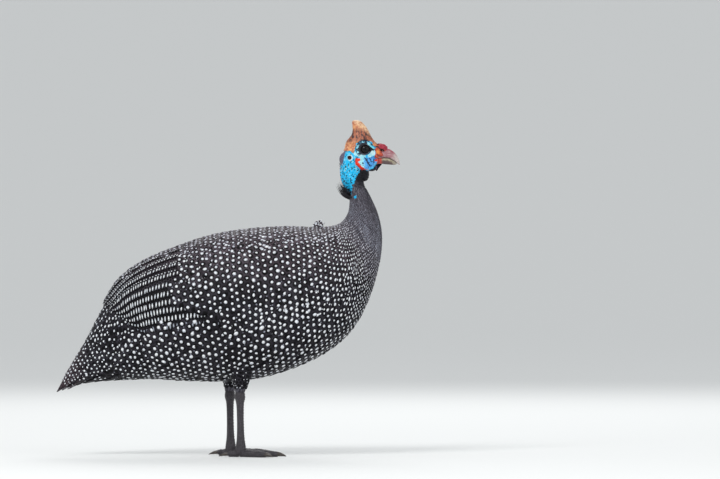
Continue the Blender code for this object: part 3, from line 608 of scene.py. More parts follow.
def build_plumage():
    plumage = plumage_finish()
    white = spot_finish("white_spots", (0.96, 0.97, 0.99), (0.72, 0.77, 0.86))
    soft = spot_finish("soft_spots", (0.74, 0.75, 0.82), (0.46, 0.45, 0.53))
    pale = spot_finish("pale_specks", (0.33, 0.35, 0.42), (0.17, 0.17, 0.22))
    large, small = vane_blank(4, 6), vane_blank(4, 5)
    white_spots, soft_spots, specks = Spots(10), Spots(8), Spots(6)
    body_choice = (white_spots, 12.5), (soft_spots, 13.6), (specks, 99)
    back_choice = (soft_spots, 13.0), (specks, 99)

    for seed, (name, first, last, middle, spread, spacing, lift, share, keep) in enumerate((
        ("belly", 14.3, 2.6, 180.0, ((2.6, 46.0), (6.0, 38.0), (12.0, 34.0)), FLANK_SPACING,
         ((12.4, 0.2), (14.2, 0.9)), 0.215, 0.9),
        ("rump", 4.1, 0.42, 0.0, 132.0, ((0.3, 5.6), (1, 6.4), (2, 6.9), (4, 6.9)), 0.2, 0.20, 0.92),
        ("under_tail", 3.2, 0.5, 180.0, 52.0, ((0.3, 5.4), (1, 6.4), (3, 7.2)), 0.2, 0.19, 0.4),
    )):
        feathers = lattice_tract(first, last, middle, spread, spacing, lift, 10 + seed)
        add_vanes("feathers_" + name, feathers, large, plumage, 30 + seed)
        spot_lattice(feathers, body_choice, share, 50 + seed, keep, deep=name != "belly")

    build_tail(plumage, white_spots)
    build_wings(plumage)

    for seed, (side_name, side) in enumerate((("left", 1), ("right", -1))):
        flank = lattice_tract(
            14.3, 2.7, 124.0 * side, ((2.6, 27.0), (4.5, 27.0), (6.4, 30.0), (8.0, 36.0)), FLANK_SPACING,
            ((12.4, 1.9), (14.2, 0.9)), 60 + seed)
        add_vanes("feathers_flank_" + side_name, flank, large, plumage, 62 + seed)
        spot_lattice(flank, body_choice, 0.215, 64 + seed, deep=True)
        coverts = lattice_tract(
            14.3, ((30, 5.8), (80, 5.5), (90, 6.4), (106, 6.8)), 70.0 * side, 36.0, COVERT_SPACING,
            ((12.4, 2.5), (14.2, 0.9)), 70 + seed)
        add_vanes("coverts_" + side_name, coverts, large, plumage, 72 + seed)
        spot_lattice(coverts, body_choice, 0.215, 74 + seed)
        leg = lattice_tract(
            7.0, 0.2, 0.0, 180.0, ((0.0, 3.2), (3.0, 5.0), (7.0, 6.5)), 0.6, 76 + seed, thigh(side_name), 18.0)
        add_vanes("feathers_thigh_" + side_name, leg, large, plumage, 78 + seed)
        spot_lattice(leg, ((white_spots, 99),), 0.18, 80 + seed, 0.5, 0.0)
    back = lattice_tract(
        14.3, 3.3, 0.0, ((3.0, 12.0), (5.8, 22.0), (6.4, 46.0), (15.0, 46.0)), BACK_SPACING,
        ((12.4, 2.7), (14.2, 0.9)), 90)
    add_vanes("feathers_back", back, large, plumage, 91)
    spot_lattice(back, back_choice, 0.23, 92)

    for seed, (name, first, middle, spread) in enumerate((
        ("front", ((16, 17.5), (30, 17.2), (44, 16.6)), 180.0, 44.0), ("left", 16.8, 122.0, 34.0), ("right", 16.8, -122.0, 34.0),
        ("nape_left", 16.0, 66.0, 34.0), ("nape_right", 16.0, -66.0, 34.0), ("nape", 15.6, 0.0, 44.0),
    )):
        neck = lattice_tract(first, 13.7, middle, spread, NECK_SPACING, 0.9, 120 + seed)
        neck.rise = neck.rise * 0.5
        add_vanes("feathers_neck_" + name, neck, small, plumage, 126 + seed, slot="grey_feather")
        spot_lattice(neck, ((specks, 99),), 0.25, 132 + seed, ((14.0, 1.0), (15.0, 0.7), (16.0, 0.0)), 0.0)

    build_ruffled_tuft(plumage, large, white_spots)
    white_spots.finish("spots_white", white, "dark_feather")
    soft_spots.finish("spots_soft", soft, "dark_feather")
    specks.finish("specks_pale", pale, "grey_feather")


def build_ruffled_tuft(plumage, blank, spots):
    """A few feathers blown upright on the ridge of the back, face on to the sides."""
    for seed, side in enumerate((1.0, -1.0)):
        def upright(t, degrees, height=0.0):
            """Lengths down from the tips (0), millimetres across and out to the side."""
            t, degrees, height = np.broadcast_arrays(*(np.asarray(v, float) for v in (t, degrees, height)))
            along, across = 10.0 - t, degrees * side
            return np.stack((
                117.5 - 0.62 * along - 0.72 * across, side * (1.4 + height - 0.012 * across ** 2),
                281.0 + 0.95 * along - 0.50 * across), -1)

        tuft = Feathers(
            np.full(4, 10.0), np.array((-1.5, 0.0, 1.5, 0.5)), np.array((-1.6, -2.6, -1.2, 1.0)),
            np.array((-5.0, 0.5, 4.6, -1.5)), np.array((2.9, 3.1, 2.8, 2.8)), 3.9,
            np.array((0.5, 0.0, 0.6, 0.9)), rise=1.2, over=upright, patch=11.8,
        )
        add_vanes("ruffled_tuft_" + ("left" if side > 0 else "right"), tuft, blank, plumage, 97 + seed, 0.4)
        spot_lattice(tuft, ((spots, 99),), 0.30, 99 + seed, 1.0, 0.0)


def build_tail(plumage, spots):
    """The stiff tail feathers, which show past the last rows of the rump's, with rows of spots to their tips."""
    place = np.linspace(-84, 84, 14)
    order = np.abs(place) / 84
    feathers = Feathers(
        np.full(14, 2.3), place * 0.8, 0.02 + 0.42 * order ** 2, place, 8.5, 6.0, -0.4 - 1.6 * order, rise=0.6,
        tilt=np.sign(place) * 0.3,
    )
    add_vanes("tail_feathers", feathers, vane_blank(6, 14), plumage, 96, bluntness=0.16, fray=0.01)
    rng = np.random.default_rng(95)
    length = feathers.length[:, 0]
    for k in range(7):
        for across in (-2.6, 2.4):
            along = 1 - (4.5 + k * 5.6 + (2.6 if across > 0 else 0.0) + rng.normal(size=14) * 0.5) / length
            spots.add(feathers, along, across + rng.normal(size=14) * 0.4, rng.uniform(0.9, 1.25, 14))


def build_bristles():
    """Black hackle bristles that curl up from the nape, and short down on the throat."""
    black = plain_finish("bristles", (0.010, 0.009, 0.012), (0.028, 0.025, 0.032), 0.45, 1.5, 0.05)
    rng = np.random.default_rng(140)
    bm = bmesh.new()
    bmesh.ops.create_cone(bm, cap_ends=True, segments=3, radius1=1.0, radius2=1.0, depth=1.0)
    bmesh.ops.translate(bm, verts=bm.verts[:], vec=(0, 0, 0.5))
    long = [edge for edge in bm.edges if abs(edge.verts[0].co.z - edge.verts[1].co.z) > 0.5]
    bmesh.ops.subdivide_edges(bm, edges=long, cuts=6, use_grid_fill=True)
    bmesh.ops.triangulate(bm, faces=bm.faces[:])
    bm.verts.index_update()
    blank = np.array([vert.co for vert in bm.verts])
    faces = np.array([[vert.index for vert in face.verts] for face in bm.faces])
    bm.free()
    points, maps = [], []
    for count, t_range, middle, spread, length, stand, thick in (
        (96, (15.6, 16.9), 0.0, 34.0, (18.0, 29.0), 0.75, 0.46),
        (60, (18.3, 21.5), 0.0, 26.0, (2.0, 4.0), 0.8, 0.13),
        (760, (16.4, 20.0), 180.0, 74.0, (2.0, 3.8), 0.40, 0.17),
        (220, (20.3, 24.0), 0.0, 30.0, (1.0, 2.0), 0.4, 0.15),
    ):
        t = rng.uniform(*t_range, count)
        degrees = middle + spread * np.clip(rng.normal(size=count) * 0.5, -1, 1)
        reach = rng.uniform(*length, count) * (1 - 0.25 * (t - t_range[0]) / (t_range[1] - t_range[0]))
        root = surf(t, degrees, -0.4)
        out = unit(surf(t, degrees, 1.0) - surf(t, degrees))
        down = unit(surf(t - 0.1, degrees) - surf(t, degrees))
        across = np.cross(out, down)
        a = blank[None, :, 2:3]
        path = root[:, None] + reach[:, None, None] * (
            out[:, None] * a * stand * (1.35 - 0.45 * a)
            + down[:, None] * a * (1 - stand) * (1.0 - 0.5 * a)
            + across[:, None] * (rng.normal(size=(count, 1, 1)) * 0.28 * a ** 2)
        )
        if stand > 0.7:
            path = path + np.array((0, 0, 1.0)) * (reach[:, None, None] * (0.36 * a + 0.46 * a ** 2))
        girth = thick * (1 - a ** 2.6) + 0.05
        path = path + girth * (across[:, None] * blank[None, :, 0:1] + down[:, None] * blank[None, :, 1:2])
        points.append(path.reshape(-1, 3))
        places = np.stack(np.broadcast_arrays(
            0.05 + 0.9 * (wrap(degrees)[:, None] + 180) / 360 + blank[None, :, 0] * 0.0014,
            0.05 + 0.9 * t[:, None] / CROWN + (blank[None, :, 2] - 0.5) * 0.0028,
        ), -1)
        maps.append(places.reshape(-1, 2))
    points = np.concatenate(points)
    steps = (np.arange(len(points) // len(blank)) * len(blank))[:, None, None]
    make_mesh(
        "nape_bristles", points, (faces[None] + steps).reshape(-1, 3), black, "dark_feather",
        {"OFBake": np.concatenate(maps)},
    )


# Where each long inner flight feather's barred edge runs at the fifth section, in degrees.
BAND_DEGREES = np.array((13.0, 27.0, 39.5, 50.5, 60.5, 69.5, 77.5, 85.0, 92.5, 100.0))
BAR_PITCH = 3.9


def build_wings(plumage):
    """The long inner flight feathers, each with a row of slanting bars along the web that shows."""
    blank = vane_blank(8, 18)
    count = len(BAND_DEGREES)
    share = np.arange(count) / (count - 1)
    bars, dull_bars = Spots(8), Spots(8)
    for side_name, side in (("left", 1), ("right", -1)):
        middle = BAND_DEGREES - 6.0
        feathers = Feathers(
            np.full(count, 8.6), side * (middle + 12.0 - 6.0 * share), 3.25 + 0.9 * share ** 1.5,
            side * (middle - 6.0 - 2.0 * share), 13.0, BAR_PITCH, 1.6 - 1.3 * share, rise=0.8, tilt=1.3 * side,
            camber=0.2,
        )
        add_vanes("secondaries_" + side_name, feathers, blank, plumage, 100 + side, bluntness=0.12, fray=0.01)
        rng = np.random.default_rng(110 + side)
        length = feathers.length[:, 0]
        pitch = BAR_PITCH * (1.0 + 0.22 * share)
        reach = np.interp(share, (0.0, 0.2, 0.5, 0.8, 1.0), (1.5, 2.2, 3.6, 3.9, 3.3))
        dull = share > 0.95
        for k in range(int(length.max() / BAR_PITCH)):
            along = 1 - (k + 0.8) * pitch / length + rng.normal(size=count) * 0.002
            edge = feather_width(along, 0.12) * 13.0 - 0.9
            near_tip = float(np.clip((k + 2.0) / 7.0, 0.35, 1.0))
            half = reach * near_tip * rng.uniform(0.92, 1.05, count)
            across = side * (edge - half) + rng.normal(size=count) * 0.12
            radius = (0.92 + 0.16 * share) * rng.uniform(0.88, 1.08, count)
            slant = (26.0 - 16.0 * share + rng.normal(size=count) * 3.0)[:, None] * side
            for piece, mask in ((bars, ~dull), (dull_bars, dull)):
                some = mask & (along > 0.2)
                piece.add(
                    feathers.pick(some), along[some], across[some], radius[some],
                    (half / radius)[some][:, None], slant[some])
            some = (along > 0.2) & (share < 0.35)
            bars.add(
                feathers.pick(some), (along - 0.5 * pitch / length)[some], (side * (edge - 2 * half - 1.9))[some],
                np.full(int(some.sum()), 0.95))
    bars.finish("wing_bars", spot_finish("white_bars", (0.96, 0.97, 0.98), (0.62, 0.68, 0.76)), "dark_feather")
    dull_bars.finish("wing_bars_dull", spot_finish("dull_bars", (0.42, 0.45, 0.52), (0.26, 0.29, 0.35)), "dark_feather")


# Skin, horn and eyes

class Form:
    """Closed forms gathered in one bmesh, in millimetres, before they are made one surface."""

    def __init__(self):
        self.bm = bmesh.new()

    def ball(self, centre, radii, turn=(0, 0, 0), detail=3):
        made = bmesh.ops.create_icosphere(self.bm, subdivisions=detail, radius=1.0)
        turned = Euler([math.radians(a) for a in turn]).to_matrix().to_4x4()
        matrix = Matrix.Translation(centre) @ turned @ Matrix.Diagonal((*radii, 1))
        bmesh.ops.transform(self.bm, matrix=matrix, verts=made["verts"])
        return self

    def beads(self, path, radii, step=0.5, flat=1.0, detail=2):
        """Balls close together along a smooth path, which make one fold or rim."""
        path, radii = np.asarray(path, float), np.asarray(radii, float)
        runs = np.linalg.norm(np.diff(path, axis=0), axis=1).sum()
        count = max(3, int(runs / (step * radii.min())))
        for place in np.linspace(0, len(path) - 1, count):
            row = section_at(np.column_stack((path, radii)), np.array(place))
            self.ball(row[:3], (row[3], row[3], row[3] * flat), detail=detail)
        return self

    def rod(self, centre, radii, length, axis, detail=32):
        made = bmesh.ops.create_cone(
            self.bm, cap_ends=True, segments=detail, radius1=1.0, radius2=1.0, depth=1.0)
        turned = Vector(axis).to_track_quat("Z", "Y").to_matrix().to_4x4()
        matrix = Matrix.Translation(centre) @ turned @ Matrix.Diagonal((*radii, length, 1))
        bmesh.ops.transform(self.bm, matrix=matrix, verts=made["verts"])
        return self

    def rings(self, rings):
        """A closed skin over rings of points, capped at both ends."""
        loops = [[self.bm.verts.new(point) for point in ring] for ring in rings]
        edges = [[self.bm.edges.new(pair) for pair in zip(loop, loop[1:] + loop[:1])] for loop in loops]
        faces = []
        for low, high in zip(edges, edges[1:]):
            faces += bmesh.ops.bridge_loops(self.bm, edges=low + high)["faces"]
        faces += [self.bm.faces.new(loops[0]), self.bm.faces.new(loops[-1])]
        bmesh.ops.recalc_face_normals(self.bm, faces=faces)
        return self

    def prism(self, corners, low, high):
        """A wall of this outline in x and z, from low to high in y."""
        base = [self.bm.verts.new((x, low, z)) for x, z in corners]
        face = self.bm.faces.new(base)
        raised = bmesh.ops.extrude_face_region(self.bm, geom=[face], use_keep_orig=True)
        ends = [vert for vert in raised["geom"] if isinstance(vert, bmesh.types.BMVert)]
        bmesh.ops.translate(self.bm, verts=ends, vec=(0, high - low, 0))
        bmesh.ops.recalc_face_normals(self.bm, faces=self.bm.faces[:])
        return self

    def both(self):
        """The forms and their mirror images on the other side."""
        copied = bmesh.ops.duplicate(self.bm, geom=self.bm.verts[:] + self.bm.edges[:] + self.bm.faces[:])
        verts = [item for item in copied["geom"] if isinstance(item, bmesh.types.BMVert)]
        bmesh.ops.scale(self.bm, vec=(1, -1, 1), verts=verts)
        faces = [item for item in copied["geom"] if isinstance(item, bmesh.types.BMFace)]
        bmesh.ops.reverse_faces(self.bm, faces=faces)
        return self

    def obj(self, name="form"):
        mesh = bpy.data.meshes.new(name)
        self.bm.to_mesh(mesh)
        self.bm.free()
        made = bpy.data.objects.new(name, mesh)
        bpy.context.scene.collection.objects.link(made)
        return made


def settle(obj, kind, other=None, **settings):
    """Adds one modifier and makes it part of the mesh; the other object it used is removed."""
    step = obj.modifiers.new(kind, kind)
    for key, value in settings.items():
        setattr(step, key, value)
    if other is not None:
        step.object = other
    made = bpy.data.meshes.new_from_object(obj.evaluated_get(bpy.context.evaluated_depsgraph_get()))
    obj.modifiers.clear()
    old, obj.data = obj.data, made
    bpy.data.meshes.remove(old)
    if other is not None:
        mesh = other.data
        bpy.data.objects.remove(other)
        bpy.data.meshes.remove(mesh)
    return obj


def voxels(obj, size):
    return settle(obj, "REMESH", mode="VOXEL", voxel_size=size)


def trim(obj, other, operation="DIFFERENCE"):
    return settle(obj, "BOOLEAN", other, operation=operation, solver="MANIFOLD")


def smoothed(obj, times, factor=0.5):
    bm = bmesh.new()
    bm.from_mesh(obj.data)
    for _ in range(times):
        bmesh.ops.smooth_vert(bm, verts=bm.verts[:], factor=factor, use_axis_x=True, use_axis_y=True, use_axis_z=True)
    bm.to_mesh(obj.data)
    bm.free()
    return obj


def points_of(obj):
    places = np.zeros(len(obj.data.vertices) * 3, np.float32)
    obj.data.vertices.foreach_get("co", places)
    return places.reshape(-1, 3).astype(float)


def normals_of(obj):
    normals = np.zeros(len(obj.data.vertices) * 3, np.float32)
    obj.data.vertex_normals.foreach_get("vector", normals)
    return normals.reshape(-1, 3).astype(float)


def grain_at(points, scale, seed=0.0):
    """Smooth noise from -1 to 1 at points."""
    shift = Vector((seed * 17.3, seed * 5.1, seed * 11.7))
    return np.array([noise.noise(Vector(p) * scale + shift) for p in points])


def step_up(values, low, high):
    share = np.clip((values - low) / (high - low), 0, 1)
    return share * share * (3 - 2 * share)


def from_outline(x, z, corners):
    """Millimetres inside (positive) or outside (negative) a closed outline."""
    corners = np.asarray(corners, float)
    nearest, inside = np.full(x.shape, 1e9), np.zeros(x.shape, bool)
    for (ax, az), (bx, bz) in zip(corners, np.roll(corners, -1, axis=0)):
        run = np.clip(((x - ax) * (bx - ax) + (z - az) * (bz - az)) / ((bx - ax) ** 2 + (bz - az) ** 2), 0, 1)
        nearest = np.minimum(nearest, np.hypot(x - ax - run * (bx - ax), z - az - run * (bz - az)))
        crosses = (az > z) != (bz > z)
        with np.errstate(divide="ignore", invalid="ignore"):
            inside ^= crosses & (x < (bx - ax) * (z - az) / (bz - az) + ax)
    return np.where(inside, nearest, -nearest)


def from_line(x, z, corners):
    """Millimetres from an open line of points."""
    corners = np.asarray(corners, float)
    nearest = np.full(x.shape, 1e9)
    for (ax, az), (bx, bz) in zip(corners, corners[1:]):
        run = np.clip(((x - ax) * (bx - ax) + (z - az) * (bz - az)) / ((bx - ax) ** 2 + (bz - az) ** 2), 0, 1)
        nearest = np.minimum(nearest, np.hypot(x - ax - run * (bx - ax), z - az - run * (bz - az)))
    return nearest


class Paint:
    """Colours laid over one another at a piece's points."""

    def __init__(self, obj, colour):
        self.obj = obj
        self.points = points_of(obj)
        self.x, self.y, self.z = self.points.T
        self.colours = np.tile(np.array(colour, float), (len(self.points), 1))

    def lay(self, mask, colour, other=None, vary=None):
        """A colour where the mask says, or a mix of two by the vary values."""
        colour = np.array(colour, float)
        if other is not None:
            share = np.clip(vary, 0, 1)[:, None]
            colour = colour * (1 - share) + np.array(other, float) * share
        mask = np.clip(mask, 0, 1)[:, None]
        self.colours = self.colours * (1 - mask) + colour * mask

    def store(self):
        mesh = self.obj.data
        layer = mesh.attributes.new("paint", "FLOAT_COLOR", "POINT")
        rows = np.column_stack((np.clip(self.colours, 0, 1), np.ones(len(self.points))))
        layer.data.foreach_set("color", rows.astype(np.float32).ravel())


def finished(obj, name, material, slot, *nodes):
    """Scales a form from millimetres to metres and hands it to the frame."""
    obj.name = obj.data.name = name
    obj.data.transform(Matrix.Scale(MM, 4))
    obj.data.shade_smooth()
    obj.data.materials.clear()
    obj.data.materials.append(material)
    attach(obj, "root")
    if nodes:
        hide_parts(*nodes)
    return obj


def rings_of_body(places, sides, height=0.0):
    degrees = np.arange(sides) * 360.0 / sides
    for t in places:
        at = np.full(sides, t)
        yield surf(at, degrees, wing_swell(at, degrees) + height)


EYE = np.array((171.2, 9.5, 383.2))
EYE_RADIUS = 6.5
LID_OPENING = (5.5, 5.1)
LID_RADIUS = 7.65
EAR = (152.0, 13.6, 372.7)

# The lobed lower edge of the casque, seen from the side, and the same line closed over its top.
CASQUE_EDGE = (
    (189.6, 388.6), (186.6, 387.4), (183.4, 386.6), (180.6, 389.2), (176.6, 393.4), (171.2, 395.0),
    (165.0, 393.8), (160.6, 390.4), (158.8, 385.0), (158.2, 381.2), (156.6, 378.3), (154.4, 379.6), (152.6, 381.4),
    (149.0, 380.9), (144.4, 381.6),
)
# Rows of the casque upward: back x and z, front x and z, half width.
CASQUE = np.array((
    (145.0, 381.0, 190.5, 386.5, 11.5), (146.4, 388.5, 187.0, 390.0, 11.0), (148.3, 393.9, 182.6, 394.3, 9.2),
    (152.1, 398.3, 179.6, 399.0, 7.4), (154.8, 402.8, 177.3, 403.0, 6.2), (155.9, 407.9, 174.9, 407.9, 5.2),
    (155.5, 413.0, 171.6, 413.0, 4.2), (155.0, 417.0, 167.6, 417.2, 3.2), (156.0, 419.2, 164.0, 419.4, 2.0),
    (158.0, 419.9, 161.5, 419.9, 0.8),
))
# Rows of the bill towards its tip: upper x and z, lower x and z, half width.
BILL_UPPER = np.array((
    (180.0, 385.0, 180.0, 371.4, 6.8), (189.0, 386.0, 188.0, 371.5, 6.6), (197.0, 385.4, 196.0, 372.7, 6.0),
    (203.5, 382.8, 202.2, 371.8, 4.9), (209.2, 378.3, 207.2, 369.2, 3.6), (213.2, 371.5, 210.8, 366.4, 2.2),
    (215.0, 364.2, 214.2, 363.7, 0.7),
))
BILL_LOWER = np.array((
    (180.0, 377.0, 180.0, 363.0, 7.2), (188.0, 377.0, 188.5, 365.3, 6.6), (196.0, 377.5, 196.5, 364.6, 5.5),
    (202.0, 376.0, 202.0, 364.2, 4.2), (206.2, 371.5, 206.2, 363.9, 2.8), (209.0, 368.4, 208.9, 364.0, 1.7),
    (210.9, 366.2, 210.7, 364.6, 0.5),
))


# The pointed front lobe of the left wattle, which shows below the jaw from the right.
FAR_LOBE = (
    (180.0, 368.0), (184.0, 371.0), (189.0, 370.0), (193.6, 366.4), (191.2, 363.4), (188.2, 359.6), (185.8, 355.8),
    (183.4, 359.4), (181.0, 363.0),
)
MOUTH_LINE = (
    (178.0, 371.3), (188.0, 371.4), (196.0, 372.6), (202.0, 371.7), (207.0, 369.0), (210.6, 366.2), (214.2, 363.2),
)


def rings_of_rows(rows, count, sides, power=2.0, grow=0.0, low=0.0, flat=2.0):
    """Rings over a table of rows of two edges and a half width: squarer where power, or flat for the
    lower half, is over 2, and widest below the middle where low is over 0."""
    angle = np.arange(sides) * 2 * np.pi / sides
    turn, side = np.cos(angle), np.sin(angle)
    power = np.where(turn > 0, power, flat if flat != 2.0 else power)
    turn, side = (np.sign(v) * np.abs(v) ** (2 / power) for v in (turn, side))
    side = side * (1 - low * turn)
    for place in np.linspace(0, len(rows) - 1, count):
        ax, az, bx, bz, half = section_at(rows, np.array(place))
        run = np.hypot(ax - bx, az - bz)
        reach = (run / 2 + grow) / (run / 2)
        x = (ax + bx) / 2 + (ax - bx) / 2 * turn * reach
        z = (az + bz) / 2 + (az - bz) / 2 * turn * reach
        yield np.column_stack((x, (half + grow) * side, z))


def head_form():
    form = Form()
    form.rings(rings_of_body(np.linspace(16.2, 25.0, 96), 72))
    side = Form()
    # Brow, cheek, jaw and the fold behind the eye.
    side.ball((171.5, 8.2, 390.0), (9.5, 4.2, 3.8), (0, -6, 0))
    side.ball((160.8, 10.8, 384.0), (4.6, 3.4, 7.4), (0, 10, 0))
    side.ball((176.0, 9.6, 369.0), (9.0, 5.0, 5.6), (0, 20, 0))
    side.ball((162.0, 9.0, 369.0), (8.0, 4.6, 6.0), (0, 20, 0))
    side.ball((184.0, 4.6, 376.0), (6.0, 4.6, 6.0))
    # The globe that the lids are cut from.
    side.ball(EYE, (LID_RADIUS,) * 3, detail=4)
    # The ear's rim.
    side.beads([
        (EAR[0] + 2.7 * math.cos(a), EAR[1] - 0.2, EAR[2] + 2.5 * math.sin(a)) for a in np.linspace(0, 6.2, 13)
    ], [0.75] * 13)
    # Creases of loose skin on the cheek and jaw.
    side.beads([(181.5, 12.0, 377.5), (177.0, 14.3, 373.4), (170.0, 15.2, 371.6), (163.5, 14.9, 373.4)], [0.8, 1.1, 1.1, 0.7])
    side.beads([(186.5, 7.6, 370.0), (184.0, 9.6, 367.0), (179.6, 10.8, 363.8)], [1.6, 1.9, 1.5])
    side.both()
    form.bm.from_mesh(mesh_of(side))
    # The cere's warts, the chin and the loose throat.
    form.ball((169.0, 0.0, 391.0), (15.0, 9.0, 7.0))
    form.ball((152.4, 0.0, 371.0), (13.4, 9.5, 11.0))
    form.beads([(148.2, 0, 364.0), (147.2, 0, 354.5), (149.2, 0, 344.0), (154.8, 0, 331.0)], [7.6, 7.6, 7.4, 6.2], 0.12)
    form.ball((191.5, 0.0, 384.0), (8.8, 7.2, 6.4), (0, 25, 0))
    form.ball((176.0, 0.0, 361.5), (9.5, 7.4, 5.2), (0, 18, 0))
    form.ball((170.5, 0.0, 352.0), (6.0, 8.0, 9.0))
    for x, y, z, r in (
        (194.6, 2.6, 386.6, 3.4), (193.8, -3.0, 386.4, 3.6), (190.8, 0.0, 387.8, 3.0), (197.0, 0.6, 385.6, 2.6),
        (187.6, 5.8, 379.0, 4.3), (187.6, -5.8, 379.0, 4.3), (191.0, 6.6, 376.4, 2.8), (191.0, -6.6, 376.4, 2.8),
        (185.4, 7.2, 374.4, 2.6), (185.4, -7.2, 374.4, 2.6),
    ):
        form.ball((x, y, z), (r, r, r))
    for flank in (1, -1):
        wattle_form(form, flank)
    form.prism(FAR_LOBE, 8.4, 11.2)
    return form


def mesh_of(form):
    mesh = bpy.data.meshes.new("forms")
    form.bm.to_mesh(mesh)
    form.bm.free()
    return mesh


def wattle_form(form, flank):
    """One flap that hangs from the gape and the cheek, thickest at its rolled rim."""
    made = bmesh.ops.create_uvsphere(form.bm, u_segments=48, v_segments=24, radius=1.0)
    middle = Vector((172.6, 16.8, 365.6) if flank > 0 else (171.0, -17.0, 365.0))
    for vert in made["verts"]:
        along, out, down = vert.co
        reach = math.hypot(along, down)
        thick = 0.75 + 0.55 * max(0.0, 1 - abs(reach - 0.92) / 0.16) ** 0.5
        x = along * (12.6 + 0.8 * down)
        z = down * (6.6 - 1.3 * along)
        y = (out * thick if reach < 0.98 else 0.0) + 0.012 * x * x * -0.6 + 0.45 * math.sin(x * 0.55)
        vert.co = (x, flank * y, z)
    droop = 26 if flank > 0 else 24
    turned = Euler((math.radians(flank * 12), math.radians(droop), math.radians(flank * -12))).to_matrix().to_4x4()
    bmesh.ops.transform(form.bm, matrix=Matrix.Translation(middle) @ turned, verts=made["verts"])


def build_skin():
    """One skin from the tail to the cere, bare on the head and upper neck and under the plumage elsewhere."""
    head = voxels(head_form().obj(), 0.44)
    # The eye's socket, the opening of the lids, the ear and the nostril. The socket and the opening
    # overlap, so each is cut by itself.
    for cutter in (
        Form().ball(EYE - (0, 0.8, 0), (EYE_RADIUS + 0.9,) * 3, detail=5),
        Form().rod(EYE + (0.6, 6.0, 0), LID_OPENING, 12.0, (0.12, 1, 0.02)),
        Form().ball((EAR[0], EAR[1] + 0.6, EAR[2]), (2.2, 2.6, 2.0)),
        Form().ball((192.8, 7.0, 382.0), (2.7, 2.2, 1.1), (0, 35, 0)),
    ):
        trim(head, cutter.both().obj())
    voxels(head, 0.44)
    smoothed(head, 3)
    roughen_skin(head)
    trunk = Form().rings(rings_of_body(np.linspace(0.3, 17.0, 70), 48, -COAT_DEPTH)).obj()
    for side_name in HOCK:
        over = thigh(side_name)
        degrees = np.arange(24) * 15.0
        trim(trunk, Form().rings([over(np.full(24, t), degrees, -1.0) for t in np.linspace(0.1, 10, 14)]).obj(), "UNION")
    trim(head, trunk, "UNION")
    paint_skin(head)
    return finished(
        head, "skin", skin_finish(), "blue_skin", "torso", "neck_lower", "neck_upper", "head", "cere",
        "wing_left", "wing_right", "tail", "thigh_left", "thigh_right", "wattle_left", "wattle_right",
    )


def roughen_skin(head):
    """Fine wrinkles on the skin, warts on the cere."""
    points, normals = points_of(head), normals_of(head)
    x, _, z = points.T
    cere = step_up(x, 184.0, 189.0) * step_up(z, 370.0, 374.0)
    height = 0.10 * grain_at(points, 0.55) + 0.05 * grain_at(points, 1.4, 1)
    height += cere * 0.30 * grain_at(points, 0.8, 2)
    folds = np.sin(z * 1.9 + 1.8 * grain_at(points, 0.16, 3)) * step_up(z, 362.0, 350.0)
    height += 0.16 * folds
    head.data.vertices.foreach_set("co", (points + normals * height[:, None]).astype(np.float32).ravel())
    head.data.update()


SKY = (0.010, 0.50, 0.88)
PALE_SKY = (0.36, 0.78, 0.86)
COBALT = (0.06, 0.30, 0.80)
NIGHT = (0.006, 0.006, 0.010)
SCARLET = (0.86, 0.038, 0.006)
CORAL = (0.56, 0.095, 0.052)
MAUVE = (0.150, 0.135, 0.205)


